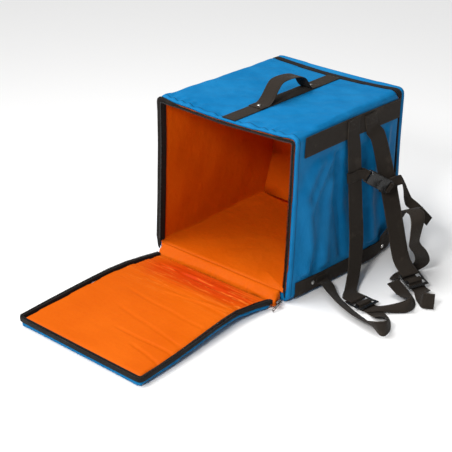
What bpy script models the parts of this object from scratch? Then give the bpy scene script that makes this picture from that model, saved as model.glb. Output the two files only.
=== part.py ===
# Insulated delivery backpack: a padded box on the floor, its front flap laid open.
# Metres, +Z up. X runs along the opening, -Y is the flap side, +X the wearer's side.
# The origin is the middle of the bag's underside, on the floor.
import math

import bmesh
import bpy
from mathutils import Matrix, Vector

# Bag body
BAG_W = 0.400
BAG_D = 0.460
BAG_H = 0.420
WALL = 0.008
FLOOR_PAD = 0.024
LINING = 0.0022
CORNER = 0.016
MIN_CORNER = 0.004

# Clearance of one piece from the next
SEAM = 0.0004

# Soft form of the body
TOP_SAG = 0.009
BULGE = 0.026
TUCK = 0.034
TUCK_TOP = 0.35

# Rear wall and its zip
REAR_PAD = 0.019
REAR_ROUND = 0.006
REAR_SWELL = 0.006
REAR_EASE = 0.0010
REAR_TAPE_W = 0.018
REAR_TAPE_SIDE_W = 0.0045
# Shares of BAG_H between which the rear tape grows from its side width to its top width
REAR_TAPE_GROWS = (0.942, 0.968)
REAR_TAPE_T = 0.003
REAR_TAPE_SUNK = 0.001

# Binding of the opening: a full roll over the left side, a thin edge inside the top and right
BIND_FRONT = 0.005
BIND_THIN = 0.0016
BIND_EDGE = 0.0066
BIND_DEPTH = 0.013
BIND_T = 0.002

# Front flap
FLAP_REACH = 0.485
LIP_LENGTH = 0.041
LIP_TOP = 0.034
LIP_LEFT = 0.90
LIP_RIGHT = 0.975
LIP_DROP = 0.34
LIP_EASE = 0.003
LIP_LEAST = 0.002
HEM_T = 0.0032
FLAP_PAD = 0.012
FLAP_LINING = 0.0062
FLAP_TAPE_W = 0.0085
FLAP_TAPE_H = 0.011
FLAP_TAPE_INSET = 0.0006
FLAP_LIFT = 0.016
FLAP_CORNER = 0.014

# Webbing
SHOULDER_W = 0.050
LOWER_W = 0.040
CHEST_W = 0.025
HANDLE_W = 0.040
WEB_T = 0.0018

# Bands across the wearer's side
TOP_BAND_H = 0.050
BOTTOM_BAND_H = 0.039
BAND_T = 0.0022
BAND_SEAT = 0.0008
WEB_SEAT = 0.0012

# Handle on the top
HANDLE_X = 0.010
HANDLE_END = 0.004
LOOP_H = 0.046
LOOP_FOOT = 0.030
RIVET_R = 0.0055
RIVET_T = 0.0022
RIVET_SEAT = 0.0007

# Plastic and metal hardware
LOCK_LENGTH = 0.046
LOCK_BAR = 0.0036
LOCK_RAIL = 0.004
LOCK_SIDE_PLAY = 0.001
BUCKLE_T = 0.0095
BUCKLE_BAR_T = 0.0036
BUCKLE_SIDE = 0.0035
BUCKLE_PLAY = 0.001
SOCKET_L = 0.042
SOCKET_BAR = 0.004
SLOT_L = 0.0045
BUCKLE_STEP = 0.002
PLUG_L = 0.033
PULL_LENGTH = 0.030
PULL_W = 0.0085
PULL_T = 0.0014
PULL_PLAY = 0.00035
PULL_TIP = 18.0
PULL_SHOULDER = 0.002
EYE_BAR = 0.0012
SLIDER_L = 0.013
SLIDER_W = 0.0092
SLIDER_T = 0.0045
SLIDER_ALONG = 0.66
SLIDER_UP = 0.0145
ROOF = 0.0005
BRIDGE_HOLE = 0.0026
BRIDGE_BAR = 0.0013
BRIDGE_L = 0.0096
BRIDGE_W = 0.0018

# Colour, roughness and metallic value of each material
FINISH = {
    "blue_cloth": ((0.03, 0.26, 0.62), 0.6, 0.0),
    "orange_lining": ((0.85, 0.17, 0.02), 0.55, 0.0),
    "black_webbing": ((0.028, 0.022, 0.018), 0.8, 0.0),
    "black_tape": ((0.022, 0.018, 0.016), 0.8, 0.0),
    "black_plastic": ((0.02, 0.02, 0.02), 0.4, 0.0),
    "nickel": ((0.75, 0.73, 0.7), 0.25, 1.0),
    "grey_metal": ((0.4, 0.4, 0.4), 0.35, 1.0),
}

# How far each wall stands out, as a share of BULGE. Rows go up the wall (share of BAG_H),
# columns run from the opening to the rear.
#            height  front  quarter  middle  three   rear
RIGHT_WALL = (
    (0.00, (0.15, 0.55, 0.85, 1.00, 0.62)),
    (0.10, (0.15, 0.60, 0.85, 0.96, 0.62)),
    (0.35, (0.35, 0.34, 0.28, 0.26, 0.12)),
    (0.70, (0.42, 0.16, 0.00, 0.00, 0.00)),
    (0.90, (0.42, 0.26, 0.12, 0.06, 0.00)),
    (1.00, (0.52, 0.30, 0.12, 0.06, 0.00)),
)
LEFT_WALL = (
    (0.00, (0.24, 0.30, 0.50, 0.55, 0.40)),
    (0.08, (0.58, 0.50, 0.60, 0.60, 0.40)),
    (0.35, (0.40, 0.40, 0.35, 0.30, 0.15)),
    (0.78, (0.22, 0.20, 0.12, 0.08, 0.05)),
    (1.00, (0.34, 0.25, 0.12, 0.08, 0.00)),
)

# Bands: height, start beyond the opening (share of BAG_D), lower edge at the start and at the
# rear (shares of BAG_H)
#    name           height         start  front  rear
BANDS = (
    ("top_band", TOP_BAND_H, 0.070, 0.861, 0.827),
    ("bottom_band", BOTTOM_BAND_H, 0.052, 0.018, 0.010),
)
# Places across a band's height, closest together at its lower edge
BAND_STEPS = (0.0, 0.12, 0.3, 0.62, 0.93, 1.0)
# Rivets on the bands: share of BAG_D, share of BAG_H
BAND_RIVETS = (
    ("band_rivet_front", -0.320, 0.068),
    ("band_rivet_rear", 0.330, 0.056),
)

# Flap sections from the fold (0) to its front edge (1): half widths as shares of BAG_W / 2,
# lift as a share of FLAP_LIFT.
#           along  left   right  lift
FLAP_ROWS = (
    (0.00, 0.870, 0.965, 0.00),
    (0.12, 0.890, 0.925, 0.36),
    (0.26, 0.915, 0.895, 0.66),
    (0.50, 0.945, 0.930, 0.56),
    (0.75, 0.950, 0.970, 0.25),
    (1.00, 0.955, 0.985, 0.00),
)

# Roll at the fold, from the opening to the crease: its top as a share of LIP_TOP.
#           along  top
LIP_ROWS = (
    (0.00, 0.92),
    (0.14, 1.00),
    (0.40, 0.90),
    (0.70, 0.72),
    (1.00, 0.52),
)

# Handle loop: share of the way between its feet, share of LOOP_H.
LOOP_ROWS = (
    (0.00, 0.00),
    (0.10, 0.24),
    (0.25, 0.86),
    (0.33, 0.99),
    (0.50, 1.00),
    (0.70, 0.91),
    (0.82, 0.72),
    (0.93, 0.22),
    (1.00, 0.00),
)
LOOP_FRONT = -0.100
LOOP_REAR = 0.072

# Webbing routes. out: beyond the wall, share of BAG_W; along: share of BAG_D; up: above the
# lowest place where the webbing can lie, share of BAG_H; turn: where its width points, degrees
# from +X; tip: how far its width tips up, degrees.
#                  out     along    up     turn   tip
SHOULDER_LEFT = (
    (0.028, 0.000, 0.766, 88, 0),
    (0.045, 0.000, 0.588, 86, 0),
    (0.068, -0.003, 0.406, 84, 0),
    (0.102, -0.022, 0.231, 83, 0),
    (0.154, -0.090, 0.096, 84, 0),
    (0.200, -0.168, 0.032, 84, 0),
)
SHOULDER_RIGHT = (
    (0.044, 0.189, 0.783, 84, 14),
    (0.090, 0.229, 0.573, 76, 8),
    (0.135, 0.232, 0.429, 72, 3),
    (0.225, 0.192, 0.252, 70, -2),
    (0.312, 0.134, 0.134, 70, -1),
)
LOWER_LEFT = (
    (0.500, -0.298, 0.005, 80, -8),
    (0.562, -0.328, 0.004, 78, -35),
    (0.630, -0.387, 0.003, 70, -75),
    (0.645, -0.438, 0.003, 66, -88),
    (0.606, -0.458, 0.003, 64, -70),
    (0.501, -0.417, 0.002, 62, -32),
    (0.354, -0.384, 0.012, 62, -28),
    (0.190, -0.320, 0.018, 64, -30),
    (0.104, -0.272, 0.044, 76, -16),
)
TAIL_LEFT = (
    (0.500, -0.226, 0.016, 74, 12),
    (0.556, -0.188, 0.006, 68, 40),
    (0.600, -0.150, 0.003, 100, 86),
    (0.560, -0.090, 0.003, 254, 38),
    (0.475, -0.050, 0.030, 262, 4),
    (0.395, -0.044, 0.074, 262, 0),
)
LOWER_RIGHT = (
    (0.322, 0.104, 0.006, 62, 0),
    (0.316, 0.175, 0.004, 40, 0),
    (0.356, 0.254, 0.030, 40, 0),
    (0.396, 0.240, 0.085, 54, 0),
    (0.424, 0.168, 0.180, 74, 0),
    (0.424, 0.100, 0.260, 84, 0),
    (0.436, 0.085, 0.335, 80, 0),
    (0.430, 0.102, 0.402, 70, 0),
    (0.390, 0.142, 0.428, 60, 0),
    (0.337, 0.161, 0.423, 52, 5),
    (0.274, 0.298, 0.362, 55, 5),
    (0.152, 0.338, 0.286, 64, 5),
    (0.107, 0.341, 0.198, 78, 3),
)
TAIL_RIGHT = (
    (0.566, 0.018, 0.006, 48, 25),
    (0.598, -0.036, 0.003, 30, 65),
    (0.632, -0.072, 0.002, 70, 86),
    (0.690, -0.048, 0.002, 118, 88),
)
CHEST_TAIL = (
    (0.165, 0.379, 0.353, 72, 50),
    (0.200, 0.406, 0.313, 70, 50),
    (0.240, 0.439, 0.260, 70, 50),
    (0.280, 0.469, 0.206, 70, 50),
)
#              out    along   up    heading  slope
LOCK_LEFT = (0.357, -0.259, 0.008, -8.6, 0.0)
LOCK_RIGHT = (0.455, 0.080, 0.038, -18.0, 25.0)
# Ends of the chest buckle
#             out    along  up
BUCKLE_FROM = (0.066, 0.073, 0.600)
BUCKLE_TO = (0.158, 0.183, 0.508)
CHEST_UP_LEFT = 0.612
CHEST_UP_RIGHT = 0.503
# Where webbing is sewn to the bands: share of BAG_D, two heights as shares of BAG_H, and how far
# it leans to the rear on its way down, degrees
#                    along   high   low    lean
SEWN_LEFT = (-0.010, 0.960, 0.885, 0.0)
SEWN_RIGHT = (0.142, 0.943, 0.870, 17.0)
SEWN_LOWER_LEFT = (-0.256, 0.094, 0.066, 0.0)
SEWN_LOWER_RIGHT = (0.335, 0.088, 0.120, 0.0)

WALL_X = BAG_W / 2
FRONT_Y = -BAG_D / 2
REAR_Y = BAG_D / 2
PANEL_Y = REAR_Y - REAR_PAD
TAPE_REAR_Y = PANEL_Y - SEAM
TAPE_FRONT_Y = TAPE_REAR_Y - REAR_TAPE_W
TAPE_MIDDLE_Y = (TAPE_FRONT_Y + TAPE_REAR_Y) / 2
SIDE_TAPE_Y = TAPE_REAR_Y - REAR_TAPE_SIDE_W
SHELL_REAR_Y = TAPE_FRONT_Y - SEAM
CREASE_Y = FRONT_Y - LIP_LENGTH
FLAP_Y = FRONT_Y - FLAP_REACH
LINING_OUT = WALL + SEAM
LINING_IN = LINING_OUT + LINING
FLOOR_IN = FLOOR_PAD + SEAM + LINING
WEB_REST = WEB_T / 2 + SEAM / 2
ARC_STEPS = 3
WALL_HEIGHTS = (0.10, 0.22, 0.35, 0.52, 0.70, 0.90, 0.948)
TOP_STEPS = 8
DEPTH_STEPS = 8
FLOOR_STEPS = 4


def clear_scene():
    for obj in list(bpy.data.objects):
        bpy.data.objects.remove(obj, do_unlink=True)


def material(name):
    found = bpy.data.materials.get(name)
    if found:
        return found
    colour, roughness, metallic = FINISH[name]
    made = bpy.data.materials.new(name)
    made.use_nodes = True
    shader = made.node_tree.nodes["Principled BSDF"]
    shader.inputs["Base Color"].default_value = (*colour, 1.0)
    shader.inputs["Roughness"].default_value = roughness
    shader.inputs["Metallic"].default_value = metallic
    made.diffuse_color = (*colour, 1.0)
    return made


def add_object(name, bm, material_name):
    bmesh.ops.recalc_face_normals(bm, faces=bm.faces)
    mesh = bpy.data.meshes.new(name)
    bm.to_mesh(mesh)
    bm.free()
    mesh.materials.append(material(material_name))
    obj = bpy.data.objects.new(name, mesh)
    bpy.context.collection.objects.link(obj)
    return obj


def ease(start, end, value):
    share = min(1.0, max(0.0, (value - start) / (end - start)))
    return share * share * (3 - 2 * share)


def read_table(rows, at):
    """Values of a table of (place, value, ...) rows at a place between two rows."""
    for low, high in zip(rows, rows[1:]):
        if at <= high[0]:
            break
    share = min(1.0, max(0.0, (at - low[0]) / (high[0] - low[0])))
    return [a + (b - a) * share for a, b in zip(low[1:], high[1:])]


def wall_out(rows, height, depth):
    """How far a wall stands out at a share of its height and of its depth."""
    spot = depth * 4
    column = min(3, int(spot))
    part = spot - column
    at_depth = [(row[0], row[1][column] * (1 - part) + row[1][column + 1] * part) for row in rows]
    return read_table(at_depth, height)[0] * BULGE


def settle(x, y, z):
    """Place of a point of the square-cut bag once the soft bag has settled."""
    across = x / WALL_X
    depth = min(1.0, max(0.0, y / BAG_D + 0.5))
    height = min(1.0, max(0.0, z / BAG_H))
    rows = RIGHT_WALL if across > 0 else LEFT_WALL
    out = wall_out(rows, height, depth) * ease(0.55, 0.93, abs(across))
    sag = max(0.0, 1 - across * across) * ease(0.55, 0.95, height) * (1 - ease(0.957, 0.999, depth))
    tuck = max(0.0, 2 * depth - 1) * max(0.0, 1 - height / TUCK_TOP)
    return Vector((x + math.copysign(out, across), y - tuck * TUCK, z - sag * TOP_SAG))


def ring(side, floor):
    """Outline of the bag, (x, z) points, moved in from its sides and top, and from its floor."""
    half = WALL_X - side
    high = BAG_H - side
    radius = max(CORNER - side, MIN_CORNER)
    rises = [share * BAG_H for share in WALL_HEIGHTS]
    tops = spread(-half + radius, half - radius, TOP_STEPS)[1:-1]
    floors = spread(half - radius, -half + radius, FLOOR_STEPS)[1:-1]
    corners = (
        (-half + radius, floor + radius, 270, [(-half, z) for z in rises]),
        (-half + radius, high - radius, 180, [(x, high) for x in tops]),
        (half - radius, high - radius, 90, [(half, z) for z in rises[::-1]]),
        (half - radius, floor + radius, 0, [(x, floor) for x in floors]),
    )
    points = []
    for cx, cz, start, straight in corners:
        for step in range(ARC_STEPS + 1):
            angle = math.radians(start - 90 * step / ARC_STEPS)
            points.append((cx + radius * math.cos(angle), cz + radius * math.sin(angle)))
        points += straight
    return points


def spread(start, end, steps):
    return [start + (end - start) * step / steps for step in range(steps + 1)]


def skin(bm, rings, closed=True):
    """Triangles between rings of vertices, all split the same way."""
    for near, far in zip(rings, rings[1:]):
        count = len(near)
        for i in range(count if closed else count - 1):
            j = (i + 1) % count
            bm.faces.new((near[i], near[j], far[j]))
            bm.faces.new((near[i], far[j], far[i]))


def sewn_ring(bm, outline, y):
    """Vertices of an outline at a place along Y, or at a pair of places: on the top, elsewhere."""
    top, side = y if isinstance(y, tuple) else (y, y)
    verts = []
    for (x, z), (_, square_z) in zip(outline, ring(0, 0)):
        share = 1 - ease(*REAR_TAPE_GROWS, square_z / BAG_H)
        verts.append(bm.verts.new(settle(x, top + (side - top) * share, z)))
    return verts


def tube(name, outside, inside, ys, material_name):
    """A soft tube along Y between two outlines, open at both ends."""
    bm = bmesh.new()
    outer = [sewn_ring(bm, outside, y) for y in ys]
    inner = [sewn_ring(bm, inside, y) for y in ys]
    skin(bm, outer)
    skin(bm, inner)
    skin(bm, [outer[0], inner[0]])
    skin(bm, [outer[-1], inner[-1]])
    return add_object(name, bm, material_name)


def body_stations(end):
    """Places along the bag where its soft form is taken, from the opening to an end."""
    places = [y for y in spread(FRONT_Y, REAR_Y, DEPTH_STEPS) if y < SHELL_REAR_Y - SEAM]
    places += [SHELL_REAR_Y, TAPE_MIDDLE_Y, TAPE_REAR_Y]
    return [y for y in places if y < end - SEAM] + [end]


def cap_rings(bm, outline, y, levels, swell):
    """Rings that close an outline towards its middle, and the middle vertex."""
    mid_z = TUCK_TOP * BAG_H
    rings = []
    for level in levels:
        shrunk = [(x * level, mid_z + (z - mid_z) * level) for x, z in outline]
        rings.append(sewn_ring(bm, shrunk, y + swell * (1 - level * level)))
    return rings, bm.verts.new(settle(0.0, y + swell, mid_z))


def fan(bm, ring_verts, middle):
    for i, vert in enumerate(ring_verts):
        bm.faces.new((vert, ring_verts[(i + 1) % len(ring_verts)], middle))


def pad_wall(name, outline, near_y, far_y, round_in, swell, material_name):
    """A padded wall across the bag, its far edge rounded and its far face swollen."""
    bm = bmesh.new()
    front, front_mid = cap_rings(bm, outline, near_y, (0.5, 0.93, 1.0), 0.0)
    edge = [sewn_ring(bm, outline, far_y - round_in)]
    back, back_mid = cap_rings(bm, outline, far_y, (1.0 - round_in / WALL_X, 0.75, 0.4), swell)
    skin(bm, front + edge + back)
    fan(bm, front[0], front_mid)
    fan(bm, back[-1], back_mid)
    return add_object(name, bm, material_name)


def sheet_solid(name, columns, rows, place, material_name):
    """A closed slab over a grid: place(column, row, side) gives the under (0) and upper (1) point."""
    bm = bmesh.new()
    under = [[bm.verts.new(place(a, b, 0)) for a in columns] for b in rows]
    upper = [[bm.verts.new(place(a, b, 1)) for a in columns] for b in rows]
    skin(bm, under, closed=False)
    skin(bm, upper, closed=False)
    last = len(columns) - 1
    edge = [(0, i) for i in range(last)] + [(j, last) for j in range(len(rows) - 1)]
    edge += [(len(rows) - 1, i) for i in range(last, 0, -1)] + [(j, 0) for j in range(len(rows) - 1, 0, -1)]
    low = [under[j][i] for j, i in edge]
    high = [upper[j][i] for j, i in edge]
    skin(bm, [low, high])
    return add_object(name, bm, material_name)


def slope_at(rows, gaps, i):
    """Change of each number along the way at a row of a route."""
    low, high = max(0, i - 1), min(len(rows) - 1, i + 1)
    way = sum(gaps[low:high])
    return [(b - a) / way for a, b in zip(rows[low], rows[high])]


def smooth_route(rows, steps):
    """Rows of numbers joined by a smooth curve, steps pieces between two rows."""
    gaps = [math.dist(a[:3], b[:3]) for a, b in zip(rows, rows[1:])]
    slopes = [slope_at(rows, gaps, i) for i in range(len(rows))]
    route = []
    for i, gap in enumerate(gaps):
        for step in range(steps):
            t = step / steps
            rise = t * t * (3 - 2 * t)
            leave = gap * t * (1 - t) * (1 - t)
            arrive = gap * t * t * (t - 1)
            numbers = zip(rows[i], rows[i + 1], slopes[i], slopes[i + 1])
            route.append([a + (b - a) * rise + m * leave + n * arrive for a, b, m, n in numbers])
    route.append(list(rows[-1]))
    return route


def ribbon(name, stations, width, thick, material_name, closed=False):
    """Webbing through (place, direction of its width) stations."""
    bm = bmesh.new()
    count = len(stations)
    rings = []
    for i, (place, across) in enumerate(stations):
        before = stations[(i - 1) % count if closed else max(0, i - 1)][0]
        after = stations[(i + 1) % count if closed else min(count - 1, i + 1)][0]
        run = (after - before).normalized()
        side = across.normalized()
        face = run.cross(side).normalized()
        corners = ((-1, -1), (1, -1), (1, 1), (-1, 1))
        rings.append([
            bm.verts.new(place + side * (a * width / 2) + face * (b * thick / 2)) for a, b in corners
        ])
    if closed:
        rings.append(rings[0])
    skin(bm, rings)
    if not closed:
        bm.faces.new(rings[0])
        bm.faces.new(rings[-1])
    return add_object(name, bm, material_name)


def width_way(turn, tip):
    flat = math.cos(math.radians(tip))
    turn = math.radians(turn)
    return Vector((math.cos(turn) * flat, math.sin(turn) * flat, math.sin(math.radians(tip))))


def beside(out, along, up, rest=WEB_REST):
    """A place beside the wearer's side, from its shares of the bag's sizes."""
    return Vector((WALL_X + out * BAG_W, along * BAG_D, rest + up * BAG_H))


def route_rows(table, width):
    rows = []
    for out, along, up, turn, tip in table:
        edge = Vector((0, 0, abs(math.sin(math.radians(tip))) * width / 2))
        rows.append([*(beside(out, along, up) + edge), *width_way(turn, tip)])
    return rows


def sewn_rows(spot, width):
    """Rows of webbing that lies on a band, from its sewn end to where it leaves the band."""
    along, end, leave, lean = spot
    lean = math.radians(lean)
    out = WALL_X + BAND_SEAT + BAND_T + WEB_SEAT + WEB_T / 2
    half_y, half_z = math.cos(lean) * width / 2, math.sin(lean) * width / 2
    rows = []
    for up, lift in ((end, 0.0), (leave, 0.0), (1.4 * leave - 0.4 * end, WEB_T / 2)):
        y = along * BAG_D + (end - up) * BAG_H * math.tan(lean)
        tilt = 0.0 if up == end else half_z  # the end is cut level with the band
        near = settle(out + lift, y - half_y, up * BAG_H - tilt)
        far = settle(out + lift, y + half_y, up * BAG_H + tilt)
        rows.append([*((near + far) / 2), *(far - near).normalized()])
    return rows


def stations_of(rows, steps):
    return [(Vector(row[:3]), Vector(row[3:])) for row in smooth_route(rows, steps)]


def make_shell():
    """Floor, sides and top. The sides and floor reach further to the rear, where the tape is thin."""
    ys = body_stations(SHELL_REAR_Y)[:-1] + [(SHELL_REAR_Y, SIDE_TAPE_Y - SEAM)]
    tube("shell", ring(0, 0), ring(WALL, FLOOR_PAD), ys, "blue_cloth")


def make_lining():
    outside = ring(LINING_OUT, FLOOR_PAD + SEAM)
    ys = body_stations(PANEL_Y - REAR_EASE)
    tube("lining", outside, ring(LINING_IN, FLOOR_IN), ys, "orange_lining")


def make_rear():
    outline = ring(0, 0)
    pad_wall("rear_panel", outline, PANEL_Y, REAR_Y, REAR_ROUND, REAR_SWELL, "blue_cloth")
    inside = ring(LINING_IN + SEAM, FLOOR_IN + SEAM)
    back = PANEL_Y - REAR_EASE
    pad_wall("rear_lining", inside, back - LINING, back, LINING * 0.1, 0.0, "orange_lining")
    outside = ring(REAR_TAPE_SUNK, REAR_TAPE_SUNK)
    within = ring(REAR_TAPE_SUNK + REAR_TAPE_T, REAR_TAPE_SUNK + REAR_TAPE_T)
    middle = (TAPE_MIDDLE_Y, (SIDE_TAPE_Y + TAPE_REAR_Y) / 2)
    ys = [(TAPE_FRONT_Y, SIDE_TAPE_Y), middle, TAPE_REAR_Y]
    tube("rear_zip_tape", outside, within, ys, "black_tape")


def make_rear_slider():
    place = settle(-WALL_X - 2 * SEAM, (SIDE_TAPE_Y + TAPE_REAR_Y) / 2, BAG_H * 0.2)
    bm = bmesh.new()
    size = Matrix.Diagonal((SLIDER_T, SLIDER_W, SLIDER_L, 1.0))
    move = Matrix.Translation(place - Vector((SLIDER_T / 2, 0, 0)))
    bmesh.ops.create_cube(bm, size=1.0, matrix=move @ size)
    bmesh.ops.bevel(bm, geom=bm.edges[:], offset=SLIDER_T * 0.25, segments=1, affect="EDGES")
    add_object("rear_slider", bm, "grey_metal")


def bind_line(inset, y):
    """One edge of the binding, (x, y, z) points round both sides and the top."""
    first = 2
    last = 4 * (ARC_STEPS + 1) + 2 * len(WALL_HEIGHTS) + TOP_STEPS - 1 - first
    floor = inset if inset < LINING_IN else FLOOR_IN + inset - LINING_IN
    return [(x, y, z) for x, z in ring(inset, floor)[first:last]]


def make_opening_tape():
    """Binding over the front edges of both sides and the top, with a leg along the lining."""
    inner = LINING_IN + SEAM
    seat = FRONT_Y - SEAM
    leg = FRONT_Y + BIND_DEPTH
    full, thin = FRONT_Y - BIND_FRONT, FRONT_Y - BIND_THIN
    # Inset and place along Y of each edge, on the left side and then on the top and the right
    profile = (
        ((0.0, full), (BIND_EDGE, thin)),
        ((0.0, seat), (BIND_EDGE, seat)),
        ((inner, seat), (inner, seat)),
        ((inner, leg), (inner, leg)),
        ((inner + BIND_T, leg), (inner + BIND_T, leg)),
        ((inner + BIND_T, full), (inner + BIND_T, thin)),
    )
    bm = bmesh.new()
    lines = []
    for left, right in profile:
        line = []
        for a, b in zip(bind_line(*left), bind_line(*right)):
            share = ease(-WALL_X, -WALL_X * 0.7, a[0])
            line.append(bm.verts.new(settle(*(p + (q - p) * share for p, q in zip(a, b)))))
        lines.append(line)
    rings = [[line[i] for line in lines] for i in range(len(lines[0]))]
    skin(bm, rings)
    bm.faces.new(rings[0])
    bm.faces.new(rings[-1])
    add_object("opening_tape", bm, "black_tape")


def flap_row(y):
    """Left edge, right edge and lift of the flap at a place along Y."""
    share = (CREASE_Y - y) / (CREASE_Y - FLAP_Y - FLAP_CORNER)
    left, right, lift = read_table(smooth_route(FLAP_ROWS, 5), min(1.0, max(0.0, share)))
    return -left * WALL_X, right * WALL_X, max(0.0, lift) * FLAP_LIFT


def flap_lift_at(y):
    return flap_row(y)[2]


def flap_stations():
    return spread(CREASE_Y - SEAM, FLAP_Y + FLAP_CORNER, 8)


def flap_edge(inset):
    """Outline of the flap's three free edges, (x, y) points, moved in by inset."""
    radius = FLAP_CORNER - inset
    middle_y = FLAP_Y + FLAP_CORNER
    left, right, _ = flap_row(middle_y)
    ys = flap_stations()
    points = [(flap_row(y)[0] + inset, y) for y in ys]
    for centre, start in ((left + FLAP_CORNER, 180), (right - FLAP_CORNER, 270)):
        for step in range(4) if start == 270 else range(1, 4):
            angle = math.radians(start + 30 * step)
            points.append((centre + radius * math.cos(angle), middle_y + radius * math.sin(angle)))
        if start == 180:
            gap = right - left - 2 * FLAP_CORNER
            points += [(centre + gap * share, middle_y - radius) for share in (0.25, 0.5, 0.75)]
    points += [(flap_row(y)[1] - inset, y) for y in ys[-2::-1]]
    return points


def flap_slab(name, inset, low, high, hem, material_name):
    """A layer of the flap between two heights, with an optional hem, (y, half width, height) rows."""
    bm = bmesh.new()
    edge = flap_edge(inset)
    rows = len(flap_stations())
    left, right = edge[:rows], edge[-rows:][::-1]
    lines = [[(a, y), (b, y)] for (a, y), (b, _) in zip(left, right)]
    columns = 6

    def layer(a, b, z):
        (ax, y), (bx, _) = a, b
        lift = flap_lift_at(y)
        return [bm.verts.new((ax + (bx - ax) * i / columns, y, z + lift)) for i in range(columns + 1)]

    bottom = [layer((-half, y), (half, y), low) for y, half, _ in hem]
    top = [layer((-half, y), (half, y), height) for y, half, height in hem]
    bottom += [layer(a, b, low) for a, b in lines]
    top += [layer(a, b, high) for a, b in lines]
    nose = edge[rows:-rows]
    nose_low = [bottom[-1][0]] + [bm.verts.new((x, y, low)) for x, y in nose] + [bottom[-1][-1]]
    nose_high = [top[-1][0]] + [bm.verts.new((x, y, high)) for x, y in nose] + [top[-1][-1]]
    skin(bm, bottom, closed=False)
    skin(bm, top, closed=False)
    skin(bm, [nose_low, nose_high], closed=False)
    for tip, base in ((nose_low, bottom[-1]), (nose_high, top[-1])):
        bm.faces.new(tip + base[-2:0:-1])
    for side in (0, -1):
        for i in range(len(bottom) - 1):
            bm.faces.new((bottom[i][side], bottom[i + 1][side], top[i + 1][side], top[i][side]))
    for i in range(columns):
        bm.faces.new((bottom[0][i], bottom[0][i + 1], top[0][i + 1], top[0][i]))
    bmesh.ops.triangulate(bm, faces=[face for face in bm.faces if len(face.verts) > 4])
    return add_object(name, bm, material_name)


def lip_half(along, side):
    """Half width of the fold's roll, from the opening (0) to the crease (1), on one side."""
    back_half = WALL_X - LINING_IN - BIND_T - 3 * SEAM - LIP_EASE
    front_half = WALL_X * (LIP_RIGHT if side > 0 else LIP_LEFT)
    return back_half + (front_half - back_half) * ease(0.13, 1.0, along)


def make_hinge_lip():
    back = FRONT_Y - SEAM

    def place(column, row, side):
        along, top = row
        y = back - along * (LIP_LENGTH - 2 * SEAM)
        low = HEM_T + SEAM
        drop = 1 - LIP_DROP * ease(0.0, 1.0, -column) * ease(0.1, 0.6, along)
        z = max(low + LIP_LEAST, LIP_TOP * top * drop) if side else low
        return settle(column * lip_half(along, column), y, z)

    sheet_solid("hinge_lip", spread(-1, 1, 8), LIP_ROWS, place, "orange_lining")


def make_flap_panel():
    """Blue outer panel of the flap; its thin hem runs under the fold to the shell."""
    half = WALL_X - CORNER
    hem = [(FRONT_Y - SEAM, half, HEM_T), (CREASE_Y + SEAM, half, HEM_T)]
    flap_slab("flap_panel", 0.0, 0.0, FLAP_PAD, hem, "blue_cloth")


def make_flap_lining():
    low = FLAP_PAD + SEAM
    flap_slab("flap_lining", FLAP_TAPE_W + 2 * SEAM, low, low + FLAP_LINING, [], "orange_lining")


def make_flap_tape():
    bm = bmesh.new()
    outer = flap_edge(FLAP_TAPE_INSET)
    inner = flap_edge(FLAP_TAPE_W)
    low = FLAP_PAD + SEAM
    high = low + FLAP_TAPE_H
    rings = []
    for (ax, ay), (bx, by) in zip(outer, inner):
        a = flap_lift_at(ay)
        b = flap_lift_at(by)
        corners = ((ax, ay, low + a), (bx, by, low + b), (bx, by, high + b), (ax, ay, high + a))
        rings.append([bm.verts.new(corner) for corner in corners])
    skin(bm, rings)
    bm.faces.new(rings[0])
    bm.faces.new(rings[-1])
    add_object("flap_tape", bm, "black_tape")


def side_skin(z, offset):
    """A point of the wearer's side at a height, moved outwards by offset."""
    if z >= CORNER:
        return WALL_X + offset, z
    lean = math.asin((CORNER - z) / CORNER)
    radius = CORNER + offset
    return WALL_X - CORNER + radius * math.cos(lean), CORNER - radius * math.sin(lean)


def make_band(name, start, end, low_front, low_rear, tall):
    """Webbing sewn across the wearer's side, its lower edge running from low_front to low_rear."""
    bm = bmesh.new()
    rings = []
    stations = [start] + [y for y in body_stations(end) if start + 0.001 < y]
    for y in stations:
        low = low_front + (low_rear - low_front) * (y - start) / (end - start)
        heights = [low + tall * share for share in BAND_STEPS]
        inside = [side_skin(z, BAND_SEAT) for z in heights]
        outside = [side_skin(z, BAND_SEAT + BAND_T) for z in heights]
        rings.append([bm.verts.new(settle(x, y, z)) for x, z in inside + outside[::-1]])
    skin(bm, rings)
    for end_ring in (rings[0], rings[-1]):
        count = len(end_ring)
        for i in range(count // 2 - 1):
            bm.faces.new((end_ring[i], end_ring[i + 1], end_ring[count - 2 - i], end_ring[count - 1 - i]))
    add_object(name, bm, "black_webbing")


def make_bands():
    for name, tall, along, low_front, low_rear in BANDS:
        make_band(name, FRONT_Y + along * BAG_D, TAPE_MIDDLE_Y, low_front * BAG_H, low_rear * BAG_H, tall)


def make_rivet(name, place, way):
    """A domed rivet head that stands on a face and points along way."""
    turn = Vector((0, 0, 1)).rotation_difference(way).to_matrix().to_4x4()
    bm = bmesh.new()
    sides = 12
    rings = []
    for reach, height in ((1.0, 0.0), (1.0, 0.3), (0.8, 0.75), (0.4, 1.0)):
        ring_points = []
        for i in range(sides):
            angle = 2 * math.pi * i / sides
            flat = Vector((math.cos(angle), math.sin(angle), 0)) * RIVET_R * reach
            spot = flat + Vector((0, 0, height * RIVET_T))
            ring_points.append(bm.verts.new(place + turn @ spot))
        rings.append(ring_points)
    skin(bm, rings)
    bm.faces.new(rings[0])
    bm.faces.new(rings[-1])
    add_object(name, bm, "nickel")


def make_band_rivets():
    out = WALL_X + BAND_SEAT + BAND_T + RIVET_SEAT
    for name, along, up in BAND_RIVETS:
        place = settle(out, along * BAG_D, up * BAG_H)
        make_rivet(name, place, Vector((1, 0, 0.0)))


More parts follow.
